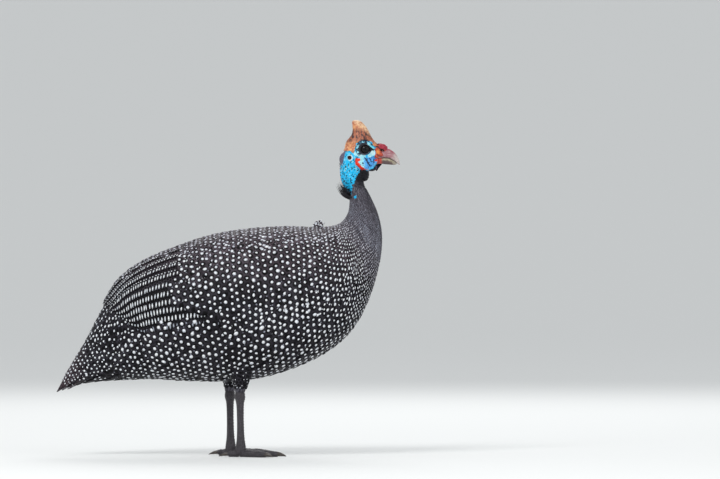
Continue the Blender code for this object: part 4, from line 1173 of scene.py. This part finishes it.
def paint_skin(head):
    paint = Paint(head, NIGHT)
    rough = grain_at(paint.points, 0.35, 4)
    fine = grain_at(paint.points, 1.1, 5)
    blot = grain_at(paint.points, 0.7, 6)
    ragged = 0.8 + 2.2 * step_up(paint.z, 362.0, 345.0)
    x = paint.x + ragged * rough + 0.6 * fine
    z = paint.z + ragged * grain_at(paint.points, 0.35, 7) + 0.5 * fine

    # Grey streaks of the neck below the black throat, as on the feathers there.
    streak = grain_at(paint.points * (1.0, 1.0, 0.35), 0.9, 9)
    below = paint.z + 0.35 * paint.x + 5.0 * rough
    paint.lay(step_up(below, 402.0, 388.0), (0.030, 0.028, 0.038), (0.125, 0.118, 0.142), step_up(streak, -0.35, 0.3))

    # Blue of the face and neck, which runs down behind the black throat in a ragged point.
    blue = from_outline(x, z, (
        (140.0, 384.0), (150.0, 384.0), (162.0, 396.0), (182.0, 392.0), (187.0, 382.0), (186.5, 366.0), (181.0, 359.0),
        (174.0, 356.0), (166.0, 359.0), (162.0, 352.0), (158.5, 343.0), (155.5, 334.0), (152.5, 326.0), (149.5, 326.0),
        (144.5, 335.0), (138.5, 345.0), (136.5, 355.0), (136.0, 364.0), (137.0, 374.0),
    ))
    lower = step_up(paint.z, 366.0, 335.0)
    dots = grain_at(paint.points * (1.0, 1.0, 0.8), 0.62, 8)
    specks = step_up(dots + 0.25 * fine + 0.16 * lower, 0.30, 0.40)
    paint.lay(step_up(blue, -0.3, 0.5), SKY, PALE_SKY, step_up(rough + blot * 0.6, -0.1, 0.75) * (1 - lower))
    paint.lay(step_up(blue, -0.3, 0.5) * specks * 0.92, NIGHT)
    paint.lay(step_up(np.hypot(x - 159.0, z - 323.5), 2.4, 1.4), SKY)

    # Grey nape and crown feathering behind the casque.
    back = np.interp(paint.z, (345.0, 355.0, 363.5, 371.0, 378.0, 384.0), (149.0, 145.8, 144.0, 145.4, 147.0, 148.5))
    nape = step_up(x, back + 0.2, back - 1.6) * step_up(paint.z + 1.5 * rough, 361.0, 366.0)
    paint.lay(nape, MAUVE, NIGHT, step_up(fine, 0.0, 0.5))
    ridge = step_up(np.abs(paint.y), 3.6, 2.0) * step_up(paint.z, 372.0, 366.0) * step_up(paint.x, 160.0, 152.0)
    paint.lay(ridge * step_up(blot + 0.5 * fine, -0.1, 0.15), NIGHT)

    # The ear, with a pale rim and painted shade in its opening.
    ear = np.hypot(paint.x - EAR[0], paint.z - EAR[2])
    paint.lay(step_up(ear, 4.3, 3.5) * (0.35 + 0.6 * step_up(paint.x - paint.z * 0.5, -35.5, -32.5)), PALE_SKY, (0.8, 0.85, 0.85), step_up(paint.x, 150.0, 154.0))
    # Painted shade: dark reddish brown over the ear's opening.
    paint.lay(step_up(ear + 0.3 * fine, 2.9, 2.4), (0.085, 0.028, 0.020))

    # Pale skin under the eye and before the ear.
    pale = np.minimum(from_line(x, z, ((158.6, 378.0), (163.0, 375.6), (170.0, 374.6))), 99)
    paint.lay(step_up(pale, 2.6, 1.2) * 0.85, PALE_SKY, (0.72, 0.90, 0.90), step_up(blot, -0.1, 0.4))

    # Cobalt cheek and wattle, with black lines of painted shade for its creases.
    cheek = from_outline(x, z, (
        (164.5, 374.0), (172.0, 372.6), (178.0, 374.0), (184.5, 374.0), (186.0, 367.5), (181.0, 360.5),
        (175.0, 358.5), (167.0, 361.0), (162.5, 366.5),
    ))
    paint.lay(step_up(cheek, -0.4, 0.6), (0.09, 0.40, 0.86), PALE_SKY, step_up(172.0 - x + 2.5 * blot, 0.0, 4.0))
    # Painted shade: thin black lines across the cheek stand for the shadows in its creases.
    crease_shade = np.abs(np.sin((x * 0.85 - z * 0.5) * 0.75 + 1.2 * rough)) + 0.35 * blot
    paint.lay(step_up(cheek, 0.2, 1.2) * step_up(crease_shade, 0.22, 0.08) * step_up(x, 171.0, 176.0) * 0.9, NIGHT)
    paint.lay(step_up(cheek, 0.2, 1.2) * step_up(fine + 0.4 * blot, 0.36, 0.48), COBALT, NIGHT, step_up(blot, -0.2, 0.3))

    for line, width in (
        (((170.6, 372.8), (173.4, 369.0), (175.4, 365.2), (177.2, 362.6)), 0.9), (((177.0, 371.4), (179.2, 367.6)), 0.8),
        (((181.8, 370.4), (182.6, 366.6)), 0.7), (((168.4, 366.0), (168.8, 365.7)), 0.9),
    ):
        stroke = from_line(x + 0.5 * blot, z, line)
        paint.lay(step_up(stroke, width + 0.5, width - 0.3) * 0.95, (0.012, 0.020, 0.075), NIGHT, step_up(blot, -0.1, 0.4))

    # The scarlet rim of the wattle.
    rim = from_line(x, z, ((160.8, 370.2), (160.6, 367.0), (163.4, 362.6), (168.0, 359.2), (172.0, 358.0), (174.8, 357.8)))
    thin = 0.8 * step_up(x, 165.0, 170.0) + 0.9 * step_up(x, 168.0, 171.0) * step_up(blot, 0.0, 0.2)
    paint.lay(step_up(rim + thin, 2.3, 1.6), SCARLET, (0.60, 0.03, 0.02), step_up(blot, -0.3, 0.5))
    paint.lay(step_up(np.hypot((x - 163.6), (z - 370.2)), 2.2, 1.6), SCARLET)

    # Black lids, the flecked ring round them and the point before the eye.
    ring = np.hypot((paint.x - 170.6) / 1.02, paint.z - 383.5)
    behind = step_up(paint.z + (170.0 - paint.x) * 0.9, 378.5, 381.5)
    flecks = step_up(blot + 0.6 * fine + 0.25 * np.sin(np.arctan2(paint.z - 383.5, paint.x - 170.6) * 7 + 1.0), 0.0, 0.3)
    paint.lay(step_up(ring, 11.6, 10.4) * behind, (0.012, 0.03, 0.09), NIGHT, step_up(blot, -0.3, 0.3))
    paint.lay(step_up(ring, 10.6, 9.9) * step_up(ring, 7.6, 8.2) * behind * flecks, SKY, PALE_SKY, blot + 0.6)
    paint.lay(step_up(ring, 8.3, 7.4), NIGHT)
    front = step_up((paint.x - 170.6) - 0.5 * (paint.z - 383.5), -4.0, 2.0)
    paint.lay(step_up(np.abs(ring - 6.7), 0.55, 0.25) * (0.25 + 0.75 * front), (0.13, 0.13, 0.16))
    lore = from_outline(paint.x, paint.z, ((176.0, 388.6), (184.4, 383.8), (178.0, 379.0), (174.0, 384.0)))
    paint.lay(step_up(lore, -0.5, 0.3), NIGHT)
    streak = from_line(paint.x, paint.z, ((175.0, 390.2), (178.4, 387.4), (182.3, 384.4)))
    paint.lay(step_up(streak, 1.15, 0.75), PALE_SKY, (0.05, 0.65, 0.85), step_up(blot, -0.2, 0.4))
    patch = from_outline(x, z, ((179.6, 382.0), (184.0, 380.6), (183.4, 376.0), (178.0, 373.4), (173.6, 374.2), (176.8, 377.6)))
    paint.lay(step_up(patch, -0.3, 0.6), (0.62, 0.86, 0.86), PALE_SKY, step_up(rough, 0.0, 0.5))

    # The cere: coral sides with ochre and dark warts, a crimson knob flecked with pink that is partly painted
    # highlight, painted shade in the nostril, and a red gape.
    cere = from_outline(x, z, (
        (183.4, 383.4), (187.0, 388.4), (191.0, 392.0), (201.0, 390.0), (202.0, 380.0), (194.0, 373.5), (186.0, 371.0),
        (182.6, 373.6), (184.6, 378.4),
    ))
    paint.lay(step_up(cere, -0.3, 0.5), CORAL, (0.22, 0.035, 0.035), step_up(blot + 0.6 * fine, 0.05, 0.55))
    paint.lay(step_up(np.hypot(x - 187.4, (z - 379.6) * 0.8), 3.4, 1.6) * 0.9, (0.78, 0.27, 0.06))
    stroke = from_line(x + 0.4 * blot, z, ((186.2, 387.2), (189.0, 384.6), (192.0, 382.4), (196.6, 378.4)))
    paint.lay(step_up(stroke, 1.7, 0.7) * 0.9, (0.035, 0.014, 0.018))
    stroke = from_line(x, z, ((186.0, 377.2), (189.6, 374.8), (194.0, 373.6)))
    paint.lay(step_up(stroke, 1.1, 0.5) * 0.7, (0.12, 0.020, 0.030))
    # The crimson knob, with lighter pink flecks that are partly painted highlight.
    knob = step_up(paint.z + 0.35 * (paint.x - 190.0), 383.8, 385.4) * step_up(paint.x + 0.6 * fine, 188.4, 190.0)
    paint.lay(knob, (0.33, 0.022, 0.045), (0.52, 0.10, 0.13), step_up(fine + blot, 0.2, 0.8))
    # Painted shade inside the nostril.
    paint.lay(step_up(np.hypot((paint.x - 192.9) / 1.5, paint.z - 382.0), 2.1, 1.3), (0.030, 0.010, 0.010))
    lobe = step_up(from_outline(paint.x, paint.z, FAR_LOBE), -2.0, -1.0) * step_up(paint.y, 7.0, 7.8)
    lobe = lobe * step_up(paint.z, 369.5, 367.0)
    inner = step_up(paint.y, 11.0, 10.4)
    tip = step_up(paint.z, 361.5, 359.0)
    paint.lay(lobe * (1 - inner) * (1 - tip), COBALT, NIGHT, step_up(blot, 0.0, 0.3))
    paint.lay(lobe * (1 - inner) * tip, SCARLET)
    paint.lay(lobe * inner, NIGHT)
    heart = np.hypot((paint.x - 184.9) / 0.8, (paint.z - 360.6) * 0.7)
    paint.lay(lobe * inner * step_up(heart, 2.2, 1.2), (0.30, 0.19, 0.28), NIGHT, step_up(blot, 0.1, 0.5))
    gape = from_line(x, z, ((184.8, 369.6), (189.0, 368.8), (194.0, 368.0)))
    paint.lay(step_up(gape, 2.2, 1.3), (0.58, 0.035, 0.03), (0.70, 0.16, 0.10), step_up(blot, 0.0, 0.5))
    paint.store()


def build_horn():
    """The casque, grown down over the skull in lobes, and the two halves of the bill."""
    casque = Form().rings(rings_of_rows(CASQUE, 44, 56, 1.9)).obj()
    cap = Form().rings(rings_of_body(np.linspace(19.0, 25.0, 60), 72, 1.25)).obj()
    over = Form().prism(CASQUE_EDGE + ((140.0, 400.0), (160.0, 412.0), (192.0, 402.0)), -30.0, 30.0).obj()
    trim(cap, over, "INTERSECT")
    lower = Form().prism(CASQUE_EDGE + ((140.0, 430.0), (195.0, 430.0)), -30.0, 30.0).obj()
    trim(casque, lower, "INTERSECT")
    trim(casque, cap, "UNION")
    voxels(casque, 0.42)
    smoothed(casque, 4)
    points, normals = points_of(casque), normals_of(casque)
    x, _, z = points.T
    ribs = np.sin(x * 1.5 + 2.2 * grain_at(points, 0.10, 1)) * step_up(z, 390.0, 400.0) * step_up(z, 417.0, 408.0)
    height = 0.16 * grain_at(points, 0.35) + 0.09 * grain_at(points, 0.9, 2) + 0.14 * ribs
    casque.data.vertices.foreach_set("co", (points + normals * height[:, None]).astype(np.float32).ravel())
    casque.data.update()
    finished(casque, "casque_horn", casque_finish(), "casque_horn", "casque")

    upper = Form().rings(rings_of_rows(BILL_UPPER, 70, 56, 1.9, low=0.30, flat=3.2)).obj()
    voxels(upper, 0.30)
    smoothed(upper, 2)
    paint = Paint(upper, (0.36, 0.150, 0.175))
    streak = grain_at(paint.points * (0.3, 1, 1), 0.9, 1)
    blot = grain_at(paint.points, 0.5, 2)
    paint.lay(step_up(streak + blot, -0.1, 0.6), (0.46, 0.27, 0.28))
    crest = from_line(paint.x, paint.z, ((190.0, 386.2), (197.0, 385.6), (203.5, 383.0), (209.2, 378.5), (213.4, 371.5)))
    paint.lay(step_up(crest, 2.4, 0.8) * 0.9, (0.34, 0.055, 0.085))
    paint.lay(step_up(paint.x - 0.45 * paint.z + 1.5 * blot, 34.0, 43.0), (0.44, 0.36, 0.35), (0.64, 0.57, 0.54), streak + 0.5)
    mouth = from_line(paint.x, paint.z, MOUTH_LINE)
    # Painted shade along the mouth line, where the two halves of the bill meet.
    paint.lay(step_up(mouth, 1.0, 0.3) * 0.6, (0.09, 0.035, 0.035))
    paint.store()
    finished(upper, "bill_upper_horn", painted_finish("bill_upper_horn", 0.34, 1.2, 0.12), "bill_horn", "bill_upper")

    lower = Form().rings(rings_of_rows(BILL_LOWER * (1, 1, 1, 1, 0.88), 60, 48, 2.2)).obj()
    over = tuple((x, z + 0.35) for x, z in MOUTH_LINE) + ((218.0, 366.0), (214.0, 386.0), (178.0, 386.0))
    trim(lower, Form().prism(over, -12.0, 12.0).obj())
    voxels(lower, 0.30)
    smoothed(lower, 2)
    paint = Paint(lower, (0.110, 0.066, 0.066))
    blot = grain_at(paint.points, 0.6, 3)
    mouth = from_line(paint.x, paint.z, MOUTH_LINE)
    paint.lay(step_up(mouth + 0.8 * blot, 4.2, 1.8), (0.46, 0.40, 0.28), (0.30, 0.26, 0.17), step_up(blot, -0.3, 0.3))
    # Painted shade along the mouth line, where the two halves of the bill meet.
    paint.lay(step_up(mouth, 0.9, 0.3) * 0.7, (0.04, 0.025, 0.02))
    paint.lay(step_up(paint.x, 205.0, 208.5), (0.36, 0.31, 0.25))
    paint.lay(step_up(paint.x + 1.2 * blot, 193.5, 191.0), (0.50, 0.050, 0.035))
    paint.store()
    finished(lower, "bill_lower_horn", painted_finish("bill_lower_horn", 0.4, 1.2, 0.12), "bill_horn", "bill_lower")


def painted_finish(name, rough, scale, depth):
    """Horn or scales in the colours laid on the piece, with a fine grain."""
    finish = Finish(name)
    colour, _ = finish.attribute("paint")
    grain = finish.grain(finish.place(), scale, 4.0, 0.6)
    return finish.set(
        Base_Color=finish.mix(grain.between(0.3, 0.75) * 0.25, colour, (0.02, 0.012, 0.010)),
        Roughness=grain * 0.2 + (rough - 0.1), Normal=finish.bump(grain, depth),
    )


def casque_finish():
    """Horn, orange brown at the base with yellow streaks that are partly painted highlight, streaked dark in the middle
    and tan at the tip and front ridge.
    """
    finish = Finish("casque", Roughness=0.45)
    here = finish.place()
    x, y, z = finish.parts(here)
    streaky = finish.node("ShaderNodeMapping", {}, {"Vector": here, "Scale": (1.0, 1.0, 0.34)}).outputs[0]
    streak = finish.grain(streaky, 0.42, 4.0, 0.65)
    spot = finish.grain(here, 0.30, 3.0, 0.6)
    base = finish.mix(spot.between(0.42, 0.62), (0.44, 0.130, 0.060), (0.76, 0.36, 0.15))
    # Yellow-orange streaks over the base: the horn's own specks, and also painted highlights.
    base = finish.mix(streak.between(0.56, 0.66) * 0.7, base, (0.84, 0.52, 0.22))
    middle = z.between(388.0, 397.0) * z.between(412.0, 404.0)
    dark = finish.mix(streak.between(0.43, 0.58), (0.040, 0.011, 0.012), (0.42, 0.130, 0.060))
    colour = finish.mix(middle * (streak * 0.9 + 0.65), base, dark)
    tip = (z + (x - 165.0) * 0.75).between(407.0, 415.0)
    colour = finish.mix(tip, colour, finish.mix(spot.between(0.35, 0.6), (0.48, 0.22, 0.12), (0.74, 0.49, 0.29)))
    rim = (z + (x - 150.0) * 0.12).between(419.0, 421.5)
    colour = finish.mix(rim, colour, (0.78, 0.62, 0.46))
    return finish.set(Base_Color=colour, Roughness=spot * 0.25 + 0.33, Normal=finish.bump(streak + spot, 0.5))


def eye_finish():
    """A black pupil in a brown iris, under a clear wet coat."""
    finish = Finish("eye", Roughness=0.5, Specular_IOR_Level=0.0, Coat_Weight=1.0, Coat_Roughness=0.03, Coat_IOR=1.30)
    x, y, z = finish.parts(finish.place())
    out = ((x - EYE[0] - 0.6) ** 2.0 + (z - EYE[2]) ** 2.0) ** 0.5
    grain = finish.grain(finish.place(), 1.6, 3.0)
    iris = finish.mix(grain, (0.006, 0.005, 0.006), (0.018, 0.012, 0.011))
    return finish.set(Base_Color=finish.mix(out.between(3.3, 3.8), (0.002, 0.002, 0.003), iris))


ANKLE_HEIGHT = 14.0
FOOT_SPREAD = 30.0
SHANK_LEAN = 1.0
SHANK = ((0, 5.0), (0.14, 6.4), (0.28, 4.6), (0.6, 4.2), (0.86, 4.8), (1, 6.0))
TOES = (("middle", 0.0, 46.0, 4.5), ("inner", -33.0, 34.0, 4.2), ("outer", 31.0, 37.0, 4.2), ("hind", 176.0, 17.0, 3.6))
TOE_RISE = 3.7
TOE_SWELL = ((0.0, 1.1), (0.2, 1.0), (0.36, 1.10), (0.56, 0.90), (0.72, 1.0), (0.88, 0.78), (1.0, 0.62))
CLAW_LENGTH = 11.0


def scaly_rings(path, radii, front, scute, lift, sides=28, step=0.5):
    """Rings along a path whose front is stepped in overlapping scutes of a length, lifted at their lower edge."""
    path, radii = np.asarray(path, float), np.asarray(radii, float)
    runs = np.concatenate(([0], np.cumsum(np.linalg.norm(np.diff(path, axis=0), axis=1))))
    rows = np.column_stack((path, radii))
    angle = np.arange(sides) * 2 * np.pi / sides
    face = step_up(np.cos(angle), 0.15, 0.5)
    for run in np.arange(0, runs[-1], step):
        place = np.interp(run, runs, np.arange(len(runs)))
        x, y, z, radius = section_at(rows, np.array(place))
        ahead = section_at(rows, np.array(min(place + 0.05, len(rows) - 1.0)))[:3]
        behind = section_at(rows, np.array(max(place - 0.05, 0.0)))[:3]
        way = unit(ahead - behind)
        toward = unit(np.array(front) - way * np.dot(way, front))
        across = np.cross(way, toward)
        rise = radius + lift * ((run / scute) % 1.0) ** 1.6 * face
        yield (x, y, z) + rise[:, None] * (np.cos(angle)[:, None] * toward + np.sin(angle)[:, None] * across)


def above_floor(rings, floor):
    for ring in rings:
        ring[:, 2] = np.where(ring[:, 2] < floor + 1.0, floor + (ring[:, 2] - floor) * 0.18, ring[:, 2])
        ring[:, 2] = np.maximum(ring[:, 2], floor)
        yield ring


def build_legs():
    """Scaly shanks and feet, each leg with its scutes in front, and the claws."""
    scales = leg_finish()
    horn = plain_finish("claw_horn", (0.075, 0.060, 0.050), (0.030, 0.024, 0.022), 0.35, 0.6, 0.1)
    for side_name, side in (("left", 1), ("right", -1)):
        hock = np.array(HOCK[side_name])
        foot = np.array((hock[0] + SHANK_LEAN, FOOT_SPREAD * side, ANKLE_HEIGHT))
        top = hock + (hock - foot) / np.linalg.norm(hock - foot) * 4.0
        knuckle = foot + (foot - hock) / np.linalg.norm(foot - hock) * 5.3
        form = Form()
        shares, radii = zip(*SHANK)
        path = [top + (foot - top) * share for share in shares] + [knuckle, knuckle - (0, 0, 5.0)]
        form.rings(scaly_rings(path, radii + (6.6, 5.4), (1, 0, 0), 3.4, 0.55))
        for toe_name, degrees, length, radius in TOES:
            heading = math.radians(degrees * (1 if toe_name == "hind" else side))
            way = np.array((math.cos(heading), math.sin(heading), 0.0))
            root = np.array((knuckle[0], knuckle[1], TOE_RISE))
            shares, swell = zip(*TOE_SWELL)
            path = [root + way * length * share + (0, 0, 1.6 * (1 - share) ** 3) for share in shares]
            rings = scaly_rings(path, radius * np.array(swell), (0, 0, 1), 2.3, 0.42, 22)
            form.rings(list(above_floor(rings, 0.0)))
            claw_rings(toe_name + "_" + side_name, root + way * (length - 1.0), way, radius * 0.60, horn)
        finished(form.obj(), "leg_scales_" + side_name, scales, "leg_skin", "shank_" + side_name, "foot_" + side_name)


def claw_rings(name, root, way, radius, horn):
    path, radii = [], []
    for share in np.linspace(0, 1, 16):
        path.append(root + way * (CLAW_LENGTH + 1.0) * share - (0, 0, (TOE_RISE - 0.75) * share ** 1.7))
        radii.append(radius * (1 - share ** 1.6) + 0.22)
    rings = list(scaly_rings(path, radii, (0, 0, 1), 50.0, 0.0, 16, 0.6))
    finished(Form().rings(rings).obj(), "claw_horn_" + name, horn, "claw_horn", "claw_" + name)


def leg_finish():
    """Dark slate leg skin, with small scales between and behind the scutes."""
    finish = Finish("leg_scales")
    here = finish.place()
    cells = finish.cells(here, 0.75, "DISTANCE_TO_EDGE")
    grain = finish.grain(here, 0.5, 4.0)
    edge = cells.between(0.0, 0.14)
    colour = finish.mix(grain.between(0.3, 0.7), (0.030, 0.026, 0.032), (0.075, 0.066, 0.078))
    return finish.set(
        Base_Color=finish.mix(edge, (0.018, 0.015, 0.018), colour), Roughness=grain * 0.2 + 0.38,
        Normal=finish.bump(edge + grain * 0.4, 0.22),
    )


def build_eyes():
    for name, side in (("eye_left", 1), ("eye_right", -1)):
        form = Form()
        bmesh.ops.create_uvsphere(form.bm, u_segments=48, v_segments=32, radius=EYE_RADIUS)
        bmesh.ops.translate(form.bm, verts=form.bm.verts[:], vec=EYE * (1, side, 1))
        finished(form.obj(), name + "_ball", eye_finish(), "eye", name)


def build_studio():
    """A plain pale floor that curves up far off all round, soft lights and a camera square on to the right side."""
    bm = bmesh.new()
    path = [bm.verts.new((0, 0, 0))]
    path += [bm.verts.new((8.0 + 12.0 * math.sin(a), 0, 12.0 - 12.0 * math.cos(a))) for a in np.linspace(0, 0.62, 15)]
    edges = [bm.edges.new(pair) for pair in zip(path, path[1:])]
    bmesh.ops.spin(
        bm, geom=path + edges, cent=(0, 0, 0), axis=(0, 0, 1), angle=2 * math.pi, steps=48, use_merge=True)
    bmesh.ops.remove_doubles(bm, verts=bm.verts[:], dist=0.0001)
    bmesh.ops.recalc_face_normals(bm, faces=bm.faces[:])
    if bm.faces[0].normal.z < 0:
        bmesh.ops.reverse_faces(bm, faces=bm.faces[:])
    mesh = bpy.data.meshes.new("floor")
    bm.to_mesh(mesh)
    bm.free()
    mesh.shade_smooth()
    floor = bpy.data.objects.new("floor", mesh)
    bpy.context.scene.collection.objects.link(floor)
    mesh.materials.append(Finish("floor", Base_Color=(0.82, 0.83, 0.82, 1.0), Roughness=0.85).material)

    world = bpy.data.worlds.new("studio")
    world.use_nodes = True
    world.node_tree.nodes["Background"].inputs["Color"].default_value = (0.84, 0.86, 0.88, 1.0)
    world.node_tree.nodes["Background"].inputs["Strength"].default_value = 0.80
    bpy.context.scene.world = world
    target = Vector((0.0, 0.0, 0.2))
    for name, place, size, power in (
        ("key", (-1.0, -2.2, 2.3), 1.1, 46.0),
        ("fill", (2.0, -1.6, 1.0), 1.6, 8.0),
        ("rim", (0.3, 2.2, 2.0), 1.6, 22.0),
    ):
        light = bpy.data.lights.new(name, "AREA")
        light.size, light.energy = size, power
        lamp = bpy.data.objects.new(name, light)
        lamp.location = place
        lamp.rotation_euler = (target - Vector(place)).to_track_quat("-Z", "Y").to_euler()
        bpy.context.scene.collection.objects.link(lamp)

    # The photograph's frame spans this width at the bird, whose feet are at this row of its pixels.
    frame_width, frame_pixels, distance = 0.900, 720, 7.0
    middle_x = (360.0 - 228.0) * frame_width / frame_pixels
    middle_z = (456.0 - 239.5) * frame_width / frame_pixels
    lens = bpy.data.cameras.new("camera")
    lens.lens = lens.sensor_width * distance / frame_width
    camera = bpy.data.objects.new("camera", lens)
    camera.location = (middle_x, -distance, middle_z)
    camera.rotation_euler = (math.radians(90), 0, 0)
    bpy.context.scene.collection.objects.link(camera)
    bpy.context.scene.camera = camera
    bpy.context.scene.view_settings.view_transform = "Standard"


build_studio()
build_skin()
build_horn()
build_eyes()
build_legs()
build_plumage()
build_bristles()
